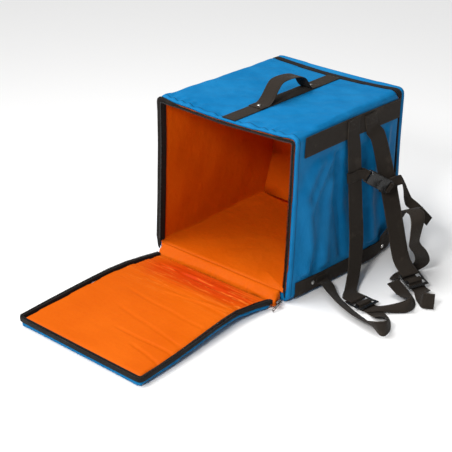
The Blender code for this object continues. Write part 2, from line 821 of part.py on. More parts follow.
def handle_z(layer):
    """Height of the middle of a layer of webbing on the square-cut top."""
    return BAG_H + SEAM + WEB_T / 2 + layer * (WEB_T + SEAM)


def make_handle():
    across = Vector((1, 0, 0))
    ys = spread(FRONT_Y + HANDLE_END, SHELL_REAR_Y - HANDLE_END, 12)
    base = [(settle(HANDLE_X, y, handle_z(0)), across) for y in ys]
    ribbon("handle_base", base, HANDLE_W, WEB_T, "black_webbing")
    feet = [[LOOP_FRONT - LOOP_FOOT, 0.0], [LOOP_FRONT - LOOP_FOOT / 2, 0.0]]
    rise = [[LOOP_FRONT + share * (LOOP_REAR - LOOP_FRONT), up * LOOP_H] for share, up in LOOP_ROWS]
    feet_rear = [[LOOP_REAR + LOOP_FOOT / 2, 0.0], [LOOP_REAR + LOOP_FOOT, 0.0]]
    route = smooth_route(feet + rise + feet_rear, 3)
    loop = [(settle(HANDLE_X, y, handle_z(1) + max(0.0, up)), across) for y, up in route]
    ribbon("handle_loop", loop, HANDLE_W, WEB_T, "black_webbing")
    rivet_z = handle_z(1) + WEB_T / 2 + SEAM
    rivet_ys = (LOOP_FRONT - LOOP_FOOT / 2, LOOP_REAR + LOOP_FOOT / 2)
    for name, y in zip(("handle_rivet_front", "handle_rivet_rear"), rivet_ys):
        make_rivet(name, settle(HANDLE_X, y, rivet_z), Vector((0, 0, 1)))


class Frame:
    """Local axes of a piece of hardware: run along the webbing, side across it, face up."""

    def __init__(self, place, heading, slope):
        turn = math.radians(heading)
        pitch = math.radians(slope)
        self.place = place
        level = Vector((math.cos(turn), math.sin(turn), 0))
        self.run = level * math.cos(pitch) - Vector((0, 0, math.sin(pitch)))
        self.side = Vector((-math.sin(turn), math.cos(turn), 0))
        self.face = self.run.cross(self.side)

    def at(self, run, side, face):
        return self.place + self.run * run + self.side * side + self.face * face

    def rows(self, points):
        return [[*self.at(run, 0, face), *self.side] for run, face in points]


def lattice(bm, frame, runs, sides, open_cells, low, high):
    """A plate of cells, some of them open, its thickness given for each line across its run."""
    def corner(i, j, level):
        heights = high if level else low
        return frame.at(runs[i], sides[j], heights[i])

    count = (len(runs), len(sides))
    verts = {}
    for i in range(count[0]):
        for j in range(count[1]):
            for level in (0, 1):
                verts[i, j, level] = bm.verts.new(corner(i, j, level))

    def solid(i, j):
        return 0 <= i < count[0] - 1 and 0 <= j < count[1] - 1 and (i, j) not in open_cells

    for i in range(count[0] - 1):
        for j in range(count[1] - 1):
            if not solid(i, j):
                continue
            for level in (0, 1):
                corners = ((i, j), (i + 1, j), (i + 1, j + 1), (i, j + 1))
                bm.faces.new([verts[a, b, level] for a, b in corners])
            for (di, dj), (a, b) in (
                ((-1, 0), ((i, j), (i, j + 1))),
                ((1, 0), ((i + 1, j), (i + 1, j + 1))),
                ((0, -1), ((i, j), (i + 1, j))),
                ((0, 1), ((i, j + 1), (i + 1, j + 1))),
            ):
                if not solid(i + di, j + dj):
                    bm.faces.new((verts[*a, 0], verts[*b, 0], verts[*b, 1], verts[*a, 1]))


# Ladder lock along its run, as shares of LOCK_LENGTH: rear bar, middle bar, front bar
LOCK_LINES = (-0.50, -0.37, -0.06, 0.12, 0.33, 0.50)


def make_lock(name, frame):
    runs = [share * LOCK_LENGTH for share in LOCK_LINES]
    inner = SHOULDER_W / 2 + LOCK_SIDE_PLAY
    sides = (-inner - LOCK_RAIL, -inner, inner, inner + LOCK_RAIL)
    half = LOCK_BAR / 2
    low = [-half, -half, -half, -half, half * 0.2, half * 0.6]
    high = [half, half, half * 1.1, half * 1.2, half * 2.0, half * 2.4]
    bm = bmesh.new()
    lattice(bm, frame, runs, sides, ((1, 1), (3, 1)), low, high)
    add_object(name, bm, "black_plastic")


def shoulder_hook():
    """Run and face places of webbing that comes in over the rear bar and doubles back under it."""
    rear, bar_end = LOCK_LINES[0] * LOCK_LENGTH, LOCK_LINES[1] * LOCK_LENGTH
    rise = LOCK_BAR / 2 + WEB_T / 2 + SEAM
    turn = bar_end + WEB_T / 2 + SEAM
    return (
        (rear - 0.020, rise + 0.0006),
        (rear + 0.001, rise + 0.0003),
        (turn - rise * 0.5, rise),
        (turn, rise * 0.45),
        (turn, -rise * 0.45),
        (turn - rise * 0.5, -rise),
        (rear + 0.001, -rise - 0.0002),
        (rear - 0.012, -rise),
    )


# Middle of webbing against the plain bars of a lock, and of a second layer beyond it
LOCK_RISE = LOCK_BAR / 2 + WEB_T / 2 + SEAM * 1.5
LOCK_UNDER = -LOCK_RISE - WEB_T - SEAM * 2


def from_front():
    """Lower webbing that comes in under the front bar."""
    front = LOCK_LINES[5] * LOCK_LENGTH
    far = LOCK_LINES[3] * LOCK_LENGTH
    near = LOCK_LINES[2] * LOCK_LENGTH
    return ((front + 0.010, LOCK_UNDER), (far, LOCK_UNDER), (near + 0.004, LOCK_UNDER + 0.0014))


def from_rear():
    """Lower webbing that comes in below the shoulder webbing and its rear bar."""
    rear = LOCK_LINES[0] * LOCK_LENGTH
    near = LOCK_LINES[2] * LOCK_LENGTH
    return (
        (rear - 0.004, 2.2 * LOCK_UNDER),
        (rear + 0.006, 1.25 * LOCK_UNDER),
        (near - 0.004, LOCK_UNDER + 0.0006),
    )


def adjuster():
    """Lower webbing up behind the middle bar, over it, and out below the front bar."""
    low_bar, high_bar = LOCK_LINES[2] * LOCK_LENGTH, LOCK_LINES[3] * LOCK_LENGTH
    front = LOCK_LINES[5] * LOCK_LENGTH
    rise = LOCK_RISE
    round_bar = WEB_T + SEAM
    return (
        (low_bar + 0.0006, -rise * 1.08),
        (low_bar - 0.0011, -rise * 0.9),
        (low_bar - round_bar * 0.8, -rise * 0.5),
        (low_bar - round_bar * 0.8, rise * 0.5),
        (low_bar - 0.0011, rise * 0.94),
        (low_bar + 0.0008, rise * 1.14),
        (high_bar - 0.001, rise * 1.2),
        (high_bar + 0.0012, rise),
        (high_bar + round_bar * 0.8, rise * 0.6),
        (high_bar + round_bar, -rise * 0.1),
        (high_bar + 2 * round_bar, -rise * 0.66),
        (LOCK_LINES[4] * LOCK_LENGTH, -rise * 0.86),
        (front + 0.008, -rise * 0.55),
    )


def lock_frame(row):
    out, along, up, heading, slope = row
    return Frame(beside(out, along, up, LOCK_BAR / 2 + 2 * WEB_T), heading, slope)


def shoulder_rows(spot, table):
    return sewn_rows(spot, SHOULDER_W) + route_rows(table, SHOULDER_W)


def make_shoulder(name, spot, table, frame):
    rows = shoulder_rows(spot, table) + frame.rows(shoulder_hook())
    ribbon(name, stations_of(rows, 3), SHOULDER_W, WEB_T, "black_webbing")


def make_lower_strap(name, spot, table, way_in, frame, tail):
    """Lower webbing from the band round to its ladder lock, through it, and its free tail."""
    rows = sewn_rows(spot, LOWER_W) + route_rows(table[::-1], LOWER_W)
    rows += frame.rows(way_in + adjuster()) + route_rows(tail, LOWER_W)
    ribbon(name, stations_of(rows, 3), LOWER_W, WEB_T, "black_webbing")


def chest_frame():
    """Frame of the chest buckle: its run leads from the left strap to the right one."""
    start = beside(*BUCKLE_FROM)
    lead = beside(*BUCKLE_TO) - start
    frame = Frame(start, 0, 0)
    frame.run = lead.normalized()
    frame.side = (Vector((0, 0, 1)) - frame.run * frame.run.z).normalized()
    frame.face = frame.run.cross(frame.side)
    return frame


def strap_at(spot, table, up):
    """Place, width, outward and downward directions of a shoulder strap at a height."""
    stations = stations_of(shoulder_rows(spot, table), 3)
    height = WEB_REST + up * BAG_H
    for (high, side), (low, _) in zip(stations, stations[1:]):
        if low.z <= height:
            break
    share = (high.z - height) / (high.z - low.z)
    down = (low - high).normalized()
    across = (side - down * side.dot(down)).normalized()
    return high + (low - high) * share, across, across.cross(-down), down


# Webbing doubled round a bar of the buckle: reach into the slot and rise, both in units of the
# webbing's own rise over the bar
#              reach  rise
BAR_TURN = (
    (-2.20, 1.00),
    (0.00, 1.00),
    (0.36, 0.89),
    (0.50, 0.60),
    (0.52, 0.00),
    (0.50, -0.60),
    (0.36, -0.89),
    (0.00, -1.00),
    (-2.20, -1.00),
)


def bar_turn(frame, edge, inward):
    """Rows of webbing that doubles back round a bar of the buckle, from its face to its back."""
    rise = BUCKLE_BAR_T / 2 + WEB_T / 2 + SEAM
    places = [(edge + inward * reach * rise, high * rise) for reach, high in BAR_TURN]
    return [(frame.at(run, 0, face), frame.side) for run, face in places]


def strap_turn(place, across, out, down, back, front, sign):
    """Rows of chest webbing behind a shoulder strap, round its far edge and over its front."""
    clear = WEB_T + SEAM * 5
    edge = SHOULDER_W / 2 + WEB_T / 2 + SEAM * 3
    points = (
        (back, -clear * 0.4),
        (back - 0.006, -clear),
        (0.0, -clear),
        (-edge + 0.003, -clear),
        (-edge, 0.0),
        (-edge + 0.003, clear),
        (0.0, clear),
        (front, clear),
    )
    return [(place + across * (sign * a) + out * b, -down) for a, b in points]


def closed_loop(name, rows, steps):
    numbers = [[*place, *side] for place, side in rows]
    doubled = numbers[-2:] + numbers + numbers[:2]
    route = smooth_route(doubled, steps)[2 * steps:-2 * steps - 1]
    stations = [(Vector(row[:3]), Vector(row[3:])) for row in route]
    ribbon(name, stations, CHEST_W, WEB_T, "black_webbing", closed=True)


def make_chest_left(frame):
    rows = bar_turn(frame, SOCKET_BAR, 1)
    left = strap_at(SEWN_LEFT, SHOULDER_LEFT, CHEST_UP_LEFT)
    closed_loop("chest_loop_left", rows + strap_turn(*left, SHOULDER_W * 0.58, SHOULDER_W * 0.4, 1), 2)


def make_chest_right(frame):
    inner = SOCKET_L + SEAM + PLUG_L - SOCKET_BAR
    rows = bar_turn(frame, inner, -1)
    right = strap_at(SEWN_RIGHT, SHOULDER_RIGHT, CHEST_UP_RIGHT)
    closed_loop("chest_loop_right", rows + strap_turn(*right, SHOULDER_W * 0.6, SHOULDER_W * 0.1, -1), 2)


def make_chest_tail():
    """Free end of the chest webbing, from the front of the right loop."""
    place, across, out, down = strap_at(SEWN_RIGHT, SHOULDER_RIGHT, CHEST_UP_RIGHT)
    clear = 2 * WEB_T + SEAM * 8
    reaches = ((0.002, 1.0), (0.014, 1.0), (0.026, 1.15), (0.033, 1.9))
    start = [[*(place + across * a + out * clear * b), *(-down)] for a, b in reaches]
    rows = start + route_rows(CHEST_TAIL, 0.0)
    ribbon("chest_tail", stations_of(rows, 3), CHEST_W, WEB_T, "black_webbing")


def buckle_sides():
    half = CHEST_W / 2 + BUCKLE_PLAY
    return (-half - BUCKLE_SIDE, -half, half, half + BUCKLE_SIDE)


def make_socket(frame):
    """Socket of the side-release buckle, with the bar that carries the chest webbing."""
    bar = BUCKLE_BAR_T / 2
    half = BUCKLE_T / 2
    bm = bmesh.new()
    slot_end = SOCKET_BAR + SLOT_L
    runs = (0.0, SOCKET_BAR, slot_end, slot_end + BUCKLE_STEP, SOCKET_L)
    high = (bar, bar, bar, half, half)
    lattice(bm, frame, runs, buckle_sides(), ((1, 1),), [-level for level in high], high)
    add_object("buckle_socket", bm, "black_plastic")


def make_plug(frame):
    """Plug of the side-release buckle, pushed home against the socket."""
    bar = BUCKLE_BAR_T / 2
    half = BUCKLE_T / 2
    near = SOCKET_L + SEAM
    far = near + PLUG_L
    bm = bmesh.new()
    slot = far - SOCKET_BAR - SLOT_L
    runs = (near, slot - BUCKLE_STEP, slot, far - SOCKET_BAR, far)
    high = (half * 0.9, half * 0.9, bar, bar, bar)
    lattice(bm, frame, runs, buckle_sides(), ((2, 1),), [-level for level in high], high)
    add_object("buckle_plug", bm, "black_plastic")


def pull_frame():
    """Frame at the hinge of the pull tab: run along the tab, side along the hinge axis."""
    tip = math.radians(PULL_TIP)
    run = Vector((0, -math.cos(tip), -math.sin(tip)))
    along = SLIDER_ALONG
    y = FRONT_Y - SEAM - along * LIP_LENGTH
    seat = settle(lip_half(along + 0.16, 1), y, BAG_H * 0.03).x + SEAM
    axis_x = seat + SLIDER_T + ROOF + BRIDGE_HOLE / 2
    frame = Frame(Vector((axis_x, y, SLIDER_UP)), 0, 0)
    frame.run = run
    frame.face = Vector((1, 0, 0))
    frame.side = frame.face.cross(run)
    return frame


def make_zip_slider(frame):
    """Slider body with the bridge that the pull tab's eye passes under."""
    body = Frame(frame.place.copy(), 0, 0)
    body.run, body.side, body.face = frame.face, frame.run, frame.side
    base = -BRIDGE_HOLE / 2
    top = BRIDGE_HOLE / 2
    runs = (base - ROOF - SLIDER_T, base - ROOF, base, top, top + BRIDGE_BAR)
    reach = SLIDER_L / 2
    post = BRIDGE_L / 2
    sides = (-reach, -post, -post + BRIDGE_BAR, post - BRIDGE_BAR, post, reach)
    half = BRIDGE_W / 2
    high = (SLIDER_W / 2, SLIDER_W / 2, half, half, half)
    open_cells = ((2, 0), (2, 2), (2, 4), (3, 0), (3, 4))
    bm = bmesh.new()
    lattice(bm, body, runs, sides, open_cells, [-level for level in high], high)
    bmesh.ops.delete(bm, geom=[vert for vert in bm.verts if not vert.link_faces], context="VERTS")
    add_object("zip_slider", bm, "grey_metal")


def make_pull_tab(frame):
    """Pull tab: its eye's end bar turns under the bridge, and a hole is near its free end."""
    local = Frame(Vector((0, 0, 0)), 0, 0)
    local.run, local.side, local.face = frame.run, frame.side, frame.face
    eye_end = BRIDGE_L / 2 + BRIDGE_BAR + PULL_PLAY
    rail = BRIDGE_W / 2 + PULL_PLAY
    shoulder = eye_end + PULL_SHOULDER
    hole = (PULL_LENGTH * 0.66, PULL_LENGTH * 0.9)
    runs = (-EYE_BAR / 2, EYE_BAR / 2, eye_end, shoulder, *hole, PULL_LENGTH)
    sides = (-PULL_W / 2, -rail - EYE_BAR, -rail, rail, rail + EYE_BAR, PULL_W / 2)
    open_cells = [(run, side) for run in (0, 1, 2) for side in (0, 4)]
    open_cells += [(1, 2), (4, 1), (4, 2), (4, 3)]
    half = PULL_T / 2
    bm = bmesh.new()
    lattice(bm, local, runs, sides, open_cells, [-half] * 7, [half] * 7)
    bmesh.ops.delete(bm, geom=[vert for vert in bm.verts if not vert.link_faces], context="VERTS")
    tab = add_object("pull_tab", bm, "grey_metal")
    tab.location = frame.place


def main():
    clear_scene()
    make_shell()
    make_lining()
    make_rear()
    make_rear_slider()
    make_opening_tape()
    make_hinge_lip()
    make_flap_panel()
    make_flap_lining()
    make_flap_tape()
    make_bands()
    make_band_rivets()
    make_handle()
    left = lock_frame(LOCK_LEFT)
    right = lock_frame(LOCK_RIGHT)
    make_lock("ladder_lock_left", left)
    make_lock("ladder_lock_right", right)
    make_shoulder("shoulder_strap_left", SEWN_LEFT, SHOULDER_LEFT, left)
    make_shoulder("shoulder_strap_right", SEWN_RIGHT, SHOULDER_RIGHT, right)
    make_lower_strap("lower_strap_left", SEWN_LOWER_LEFT, LOWER_LEFT, from_front(), left, TAIL_LEFT)
    make_lower_strap("lower_strap_right", SEWN_LOWER_RIGHT, LOWER_RIGHT, from_rear(), right, TAIL_RIGHT)
    chest = chest_frame()
    make_chest_left(chest)
    make_socket(chest)
    make_plug(chest)
    make_chest_right(chest)
    make_chest_tail()
    hinge = pull_frame()
    make_zip_slider(hinge)
    make_pull_tab(hinge)


main()
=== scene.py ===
# Insulated delivery backpack: soft box with its front flap laid open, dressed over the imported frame
import itertools
import math

import bmesh
import bpy
from mathutils import Matrix, Vector, noise
from mathutils.bvhtree import BVHTree


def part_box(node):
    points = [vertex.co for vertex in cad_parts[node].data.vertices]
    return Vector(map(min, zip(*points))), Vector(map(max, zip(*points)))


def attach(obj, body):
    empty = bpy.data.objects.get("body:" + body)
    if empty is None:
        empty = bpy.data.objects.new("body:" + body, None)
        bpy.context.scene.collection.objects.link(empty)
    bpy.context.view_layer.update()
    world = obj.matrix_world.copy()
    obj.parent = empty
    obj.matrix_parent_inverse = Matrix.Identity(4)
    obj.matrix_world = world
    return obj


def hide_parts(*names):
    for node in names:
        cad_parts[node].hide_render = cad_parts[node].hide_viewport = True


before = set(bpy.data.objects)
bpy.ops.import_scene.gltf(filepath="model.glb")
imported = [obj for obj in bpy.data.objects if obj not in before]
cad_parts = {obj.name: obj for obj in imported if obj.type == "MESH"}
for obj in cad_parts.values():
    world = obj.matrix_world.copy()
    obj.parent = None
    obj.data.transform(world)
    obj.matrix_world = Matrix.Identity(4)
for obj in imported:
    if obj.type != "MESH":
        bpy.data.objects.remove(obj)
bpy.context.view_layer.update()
scene = bpy.context.scene
scene.view_settings.view_transform = "Standard"
print("frame loaded:", len(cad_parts), "nodes")


def placed(name, data):
    thing = bpy.data.objects.new(name, data)
    scene.collection.objects.link(thing)
    return thing


cameraValues = {
    "azimuth": 40.15,
    "elevation": 25.96,
    "roll": 1.0,
    "distance": 2.7675,
    "target": (0.02419, -0.24466, 0.15),
    "focalPixels": 1164.5,
    "framePixels": 452,
    "sensorWidth": 36,
    "clip": (0.05, 60),
}


def placeCamera(values):
    azimuth, elevation = math.radians(values["azimuth"]), math.radians(values["elevation"])
    back = Vector((
        math.sin(azimuth) * math.cos(elevation), -math.cos(azimuth) * math.cos(elevation), math.sin(elevation)))
    right = Vector((math.cos(azimuth), math.sin(azimuth), 0))
    up = back.cross(right)
    turn = math.radians(values["roll"])
    rolledRight = right * math.cos(turn) + up * math.sin(turn)
    rolledUp = up * math.cos(turn) - right * math.sin(turn)
    data = bpy.data.cameras.new("photoCamera")
    data.sensor_width = values["sensorWidth"]
    data.lens = values["focalPixels"] / values["framePixels"] * values["sensorWidth"]
    data.clip_start, data.clip_end = values["clip"]
    place = Matrix((rolledRight, rolledUp, back)).transposed().to_4x4()
    place.translation = Vector(values["target"]) + back * values["distance"]
    scene.camera = placed("photoCamera", data)
    scene.camera.matrix_world = place


lightValues = {
    # name: (place, aimed at, size, watts, colour)
    "softTop": ((-0.25, -0.35, 1.8), (-0.05, -0.15, 0.0), 0.9, 11, (1.0, 0.99, 0.97)),
    "frontGraze": ((0.75, -2.4, 1.9), (0.15, 0.0, 0.2), 0.6, 46, (1.0, 0.99, 0.98)),
}
# a wide even light over the whole floor, with its angle in degrees
evenLight = {"from": (-0.45, -0.4, 1.0), "strength": 2.1, "angle": 55}
worldStrength = 0.2


def addLight(name, kind, energy, way):
    data = bpy.data.lights.new(name, kind)
    data.energy = energy
    light = placed(name, data)
    light.rotation_euler = way.to_track_quat("-Z", "Y").to_euler()
    return light


def placeLights(values):
    for name, (place, aim, size, watts, colour) in values.items():
        light = addLight(name, "AREA", watts, Vector(aim) - Vector(place))
        light.location = place
        light.data.shape, light.data.size, light.data.color = "DISK", size, colour
    sun = addLight("evenLight", "SUN", evenLight["strength"], -Vector(evenLight["from"]))
    sun.data.angle = math.radians(evenLight["angle"])
    scene.world = bpy.data.worlds.new("studio")
    scene.world.use_nodes = True
    background = scene.world.node_tree.nodes["Background"]
    background.inputs["Color"].default_value = (1.0, 1.0, 1.0, 1.0)
    background.inputs["Strength"].default_value = worldStrength


placeCamera(cameraValues)
placeLights(lightValues)
print("camera and lights placed")


# A shader socket that can be used in sums.
class Wire:

    def __init__(self, shader, socket):
        self.shader = shader
        self.socket = socket

    def math(self, operation, other=0.0, flipped=False):
        first, second = (other, self) if flipped else (self, other)
        return self.shader.node("ShaderNodeMath", {"operation": operation}, {0: first, 1: second})

    def __add__(self, other):
        return self.math("ADD", other)

    __radd__ = __add__

    def __sub__(self, other):
        return self.math("SUBTRACT", other)

    def __rsub__(self, other):
        return self.math("SUBTRACT", other, flipped=True)

    def __mul__(self, other):
        return self.math("MULTIPLY", other)

    __rmul__ = __mul__

    def __pow__(self, other):
        return self.math("POWER", other)

    def sine(self):
        return self.math("SINE")

    def size(self):
        return self.math("ABSOLUTE")


# A material made from its Principled shader.
class Shader:

    def __init__(self, name, roughness=0.6, metallic=0.0, sheen=0.0, specular=0.5):
        self.material = bpy.data.materials.new(name)
        self.material.use_nodes = True
        self.tree = self.material.node_tree
        self.surface = self.tree.nodes["Principled BSDF"]
        settings = {"Roughness": roughness, "Metallic": metallic, "Sheen Weight": sheen, "Sheen Roughness": 0.45,
                    "Specular IOR Level": specular}
        for socket, value in settings.items():
            self.surface.inputs[socket].default_value = value

    def node(self, kind, settings=None, sockets=None, out=0):
        made = self.tree.nodes.new(kind)
        for key, value in (settings or {}).items():
            setattr(made, key, value)
        for key, value in (sockets or {}).items():
            if isinstance(value, Wire):
                self.tree.links.new(value.socket, made.inputs[key])
            else:
                made.inputs[key].default_value = value
        return Wire(self, made.outputs[out])

    def made(self, colour, roughness=None, normal=None):
        for socket, wire in (("Base Color", colour), ("Roughness", roughness), ("Normal", normal)):
            if wire:
                self.tree.links.new(wire.socket, self.surface.inputs[socket])
        return self.material

    def parts(self, where, count):
        node = self.node("ShaderNodeSeparateXYZ", None, {0: where}).socket.node
        return [Wire(self, node.outputs[i]) for i in range(count)]

    def axes(self):
        where = self.node("ShaderNodeTexCoord", out="Object")
        return where, self.parts(where, 3)

    def noise(self, where, scale, detail=3.0, roughness=0.5, distortion=0.0):
        return self.node("ShaderNodeTexNoise", None, {
            "Vector": where, "Scale": scale, "Detail": detail, "Roughness": roughness, "Distortion": distortion})

    def band(self, value, low, high, start=0.0, end=1.0):
        settings = {"clamp": True, "interpolation_type": "SMOOTHSTEP"}
        return self.node("ShaderNodeMapRange", settings, {0: value, 1: low, 2: high, 3: start, 4: end})

    def mix(self, share, first, second):
        def colour(value):
            return value if isinstance(value, Wire) else (*value, 1.0)

        sockets = {0: share, 6: colour(first), 7: colour(second)}
        return self.node("ShaderNodeMix", {"data_type": "RGBA"}, sockets, out=2)

    def bump(self, height, strength, distance, under=None):
        sockets = {"Height": height, "Strength": strength, "Distance": distance}
        if under:
            sockets["Normal"] = under
        return self.node("ShaderNodeBump", None, sockets)

    def stretched(self, where, scale):
        return self.node("ShaderNodeMapping", None, {"Vector": where, "Scale": scale})


# Threads over and under each other on any face of the bag, from its object axes.
def weaveHeight(axes, pitch):
    waves = [(axis * (2 * math.pi / pitch)).sine() for axis in axes]
    return (waves[0] * waves[1] + waves[1] * waves[2] + waves[2] * waves[0]) * 0.33 + 0.5


def shaded(colour, share):
    return [share * value for value in colour]


blueValues = {
    "lit": (0.012, 0.2, 0.455),
    "deep": (0.002, 0.15, 0.375),
    "worn": (0.05, 0.275, 0.57),
    "weavePitch": 0.0023,
    "scales": {"cloud": 7.0, "blotch": 31.0, "rub": 90.0, "ripple": 26.0, "swell": 8.5},
    "roughness": (0.42, 0.6),
    # y of the hem's seam, where a line of shade is painted
    "seamY": -0.2178,
}


def blueCloth(name="blueCloth", creases=0.5, hemCreaseShaded=False):
    shader = Shader(name, roughness=0.5, specular=0.06)
    where, axes = shader.axes()
    scales = blueValues["scales"]
    cloud = shader.noise(where, scales["cloud"], 4.0, 0.55)
    blotch = shader.noise(where, scales["blotch"], 3.0, 0.6)
    weave = weaveHeight(axes, blueValues["weavePitch"])
    tone = shader.band(cloud * 0.6 + blotch * 0.4, 0.3, 0.7)
    colour = shader.mix(tone, blueValues["deep"], blueValues["lit"])
    rubbed = shader.band(shader.noise(where, scales["rub"], 5.0, 0.7), 0.6, 0.8) * 0.16
    colour = shader.mix(rubbed, colour, blueValues["worn"])
    thread = shader.mix(weave * 0.42, colour, shaded(blueValues["deep"], 0.72))
    if hemCreaseShaded:  # painted shade: a dark line along the hem's seam behind the opening, where its crease lies
        hemCreaseShade = shader.band((axes[1] - blueValues["seamY"]).size(), 0.0017, 0.0007)
        thread = shader.mix(hemCreaseShade * 0.75, thread, shaded(blueValues["deep"], 0.25))
    rough = shader.band(blotch * 0.6 + weave * 0.4, 0.3, 0.7, *blueValues["roughness"])
    fine = shader.bump(weave, 0.32, 0.0003)
    ripple = shader.noise(shader.stretched(where, (1.0, 1.0, 0.45)), scales["ripple"], 4.0, 0.55, 0.4)
    soft = shader.bump(ripple, creases, 0.0035, fine)
    swell = shader.noise(where, scales["swell"], 3.0, 0.5)
    return shader.made(thread, rough, shader.bump(swell, creases * 0.7, 0.012, soft))


orangeValues = {
    "main": (0.6, 0.098, 0.002),
    "pale": (0.64, 0.112, 0.003),
    # the red below tints the grain at random and is also the painted shade near the hinge, in its crease and
    # beside its wrinkle lines
    "redToneAndShade": (0.52, 0.036, 0.002),
    "highlightStreak": (0.88, 0.25, 0.03),
    # painted shade near the hinge: its centre (x, y) and reach; then the y range and stretch of the painted
    # wrinkle lines, and the y of the painted shade in the crease
    "hingeShadeCentre": (0.02, -0.322),
    "hingeShadeReach": 0.125,
    "streaked": (-0.47, -0.33),
    "streakWay": (0.045, 1.0, 1.0),
    "creaseShadeY": -0.2725,
    "weavePitch": 0.0011,
    "scales": {"cloud": 5.5, "grain": 140.0, "highlightStreak": 62.0, "lines": 60.0, "swell": 14.0},
    "roughness": (0.4, 0.56),
}


# Orange lining cloth; its third argument sets how strongly shade and highlights are painted near the hinge.
def orangeCloth(name, wrinkles=0.5, paintedHingeShading=0.0, longWay=(0.35, 1.0, 1.0)):
    shader = Shader(name, roughness=0.48, specular=0.05)
    where, axes = shader.axes()
    scales = orangeValues["scales"]
    cloud = shader.noise(where, scales["cloud"], 3.0, 0.5)
    grain = shader.noise(where, scales["grain"], 4.0, 0.65)
    colour = shader.mix(shader.band(cloud, 0.35, 0.68), orangeValues["main"], orangeValues["pale"])
    # painted shade: the lining reddens towards the hinge, standing in for the fold's shade
    if paintedHingeShading:
        centre = orangeValues["hingeShadeCentre"]
        offset = [axes[i] - centre[i] for i in range(2)]
        away = ((offset[0] * 0.55) ** 2.0 + (offset[1] * 1.5) ** 2.0) ** 0.5
        patch = shader.band(away + (cloud - 0.5) * 0.1, orangeValues["hingeShadeReach"], 0.03)
        colour = shader.mix(patch * paintedHingeShading, colour, orangeValues["redToneAndShade"])
    colour = shader.mix(shader.band(grain, 0.42, 0.75) * 0.12, colour, orangeValues["redToneAndShade"])
    # painted highlights along the wrinkle lines near the hinge, and painted shade beside them
    if paintedHingeShading:
        drawn = shader.stretched(where, orangeValues["streakWay"])
        waves = shader.noise(drawn, scales["highlightStreak"], 3.0, 0.6, 0.4)
        near = shader.band(axes[1], *orangeValues["streaked"])
        highlightStreak = shader.band((waves - 0.5).size(), 0.022, 0.0) * near
        colour = shader.mix(highlightStreak * 0.5, colour, orangeValues["highlightStreak"])
        dark = shader.band((waves - 0.41).size(), 0.018, 0.0) * near
        colour = shader.mix(dark * 0.34, colour, shaded(orangeValues["redToneAndShade"], 0.45))
        # painted shade in the crease between the roll and the lining
        creaseShade = shader.band((axes[1] - orangeValues["creaseShadeY"]).size(), 0.003, 0.0008)
        colour = shader.mix(creaseShade * 0.85, colour, shaded(orangeValues["redToneAndShade"], 0.2))
        fine = shader.bump(highlightStreak, wrinkles, 0.0012)
    else:
        fine = shader.bump(grain, 0.1, 0.0002)
    rough = shader.band(cloud * 0.5 + grain * 0.5, 0.35, 0.65, *orangeValues["roughness"])
    fine = shader.bump(weaveHeight(axes, orangeValues["weavePitch"]), 0.22, 0.0002, fine)
    drawn = shader.stretched(where, longWay)
    lines = shader.noise(drawn, scales["lines"], 4.0, 0.6, 0.25)
    soft = shader.bump(lines, wrinkles, 0.0016, fine)
    swell = shader.noise(drawn, scales["swell"], 3.0, 0.5)
    return shader.made(colour, rough, shader.bump(swell, wrinkles * 0.8, 0.008, soft))


webValues = {
    "main": (0.014, 0.0108, 0.0082),
    "thread": (0.04, 0.031, 0.024),
    "worn": (0.095, 0.076, 0.058),
    "ribPitch": 0.0021,
    "warpPitch": 0.0016,
    "plainPitch": 0.0019,
    "roughness": (0.7, 0.9),
    "scales": {"fuzz": 420.0, "patch": 19.0, "swell": 45.0},
}


# Ribbed woven webbing. Its own UV map runs across and along, in metres.
def webbingCloth(name, uvName=None, width=0.05):
    shader = Shader(name, roughness=0.78, sheen=0.04, specular=0.12)
    where, axes = shader.axes()
    if uvName:
        across, along = shader.parts(shader.node("ShaderNodeUVMap", {"uv_map": uvName}), 2)
        ribTurn, warpTurn = 2 * math.pi / webValues["ribPitch"], 2 * math.pi / webValues["warpPitch"]
        rib = (along * ribTurn + (across * (warpTurn / 2)).sine() * 1.2).sine() * 0.5 + 0.5
        warp = (across * warpTurn).sine() * 0.5 + 0.5
        height = rib * 0.65 + warp * 0.35
        edge = shader.band(across.size(), width * 0.455, width * 0.49)
        lines = shader.band((across.size() - width * 0.36).size(), 0.0011, 0.0004)
    else:
        height = weaveHeight(axes, webValues["plainPitch"])
        edge = shader.band(shader.noise(where, 60.0), 0.62, 0.75)
    fuzz = shader.noise(where, webValues["scales"]["fuzz"], 2.0, 0.6)
    patch = shader.noise(where, webValues["scales"]["patch"], 4.0, 0.6)
    colour = shader.mix(height * 0.55 + fuzz * 0.3, webValues["main"], webValues["thread"])
    wear = shader.band(patch + edge * 0.16, 0.56, 0.78) * 0.4
    colour = shader.mix(wear, colour, webValues["worn"])
    if uvName:
        colour = shader.mix(lines * 0.35, colour, shaded(webValues["main"], 0.5))
    rough = shader.band(fuzz, 0.3, 0.7, *webValues["roughness"])
    fine = shader.bump(height, 0.55, 0.0006)
    swell = shader.noise(where, webValues["scales"]["swell"], 3.0, 0.5)
    return shader.made(colour, rough, shader.bump(swell, 0.35, 0.0025, fine))


tapeColours = {
    "main": (0.009, 0.0078, 0.007),
    "thread": (0.024, 0.02, 0.0175),
    "worn": (0.06, 0.05, 0.043),
    "weavePitch": 0.0013,
}


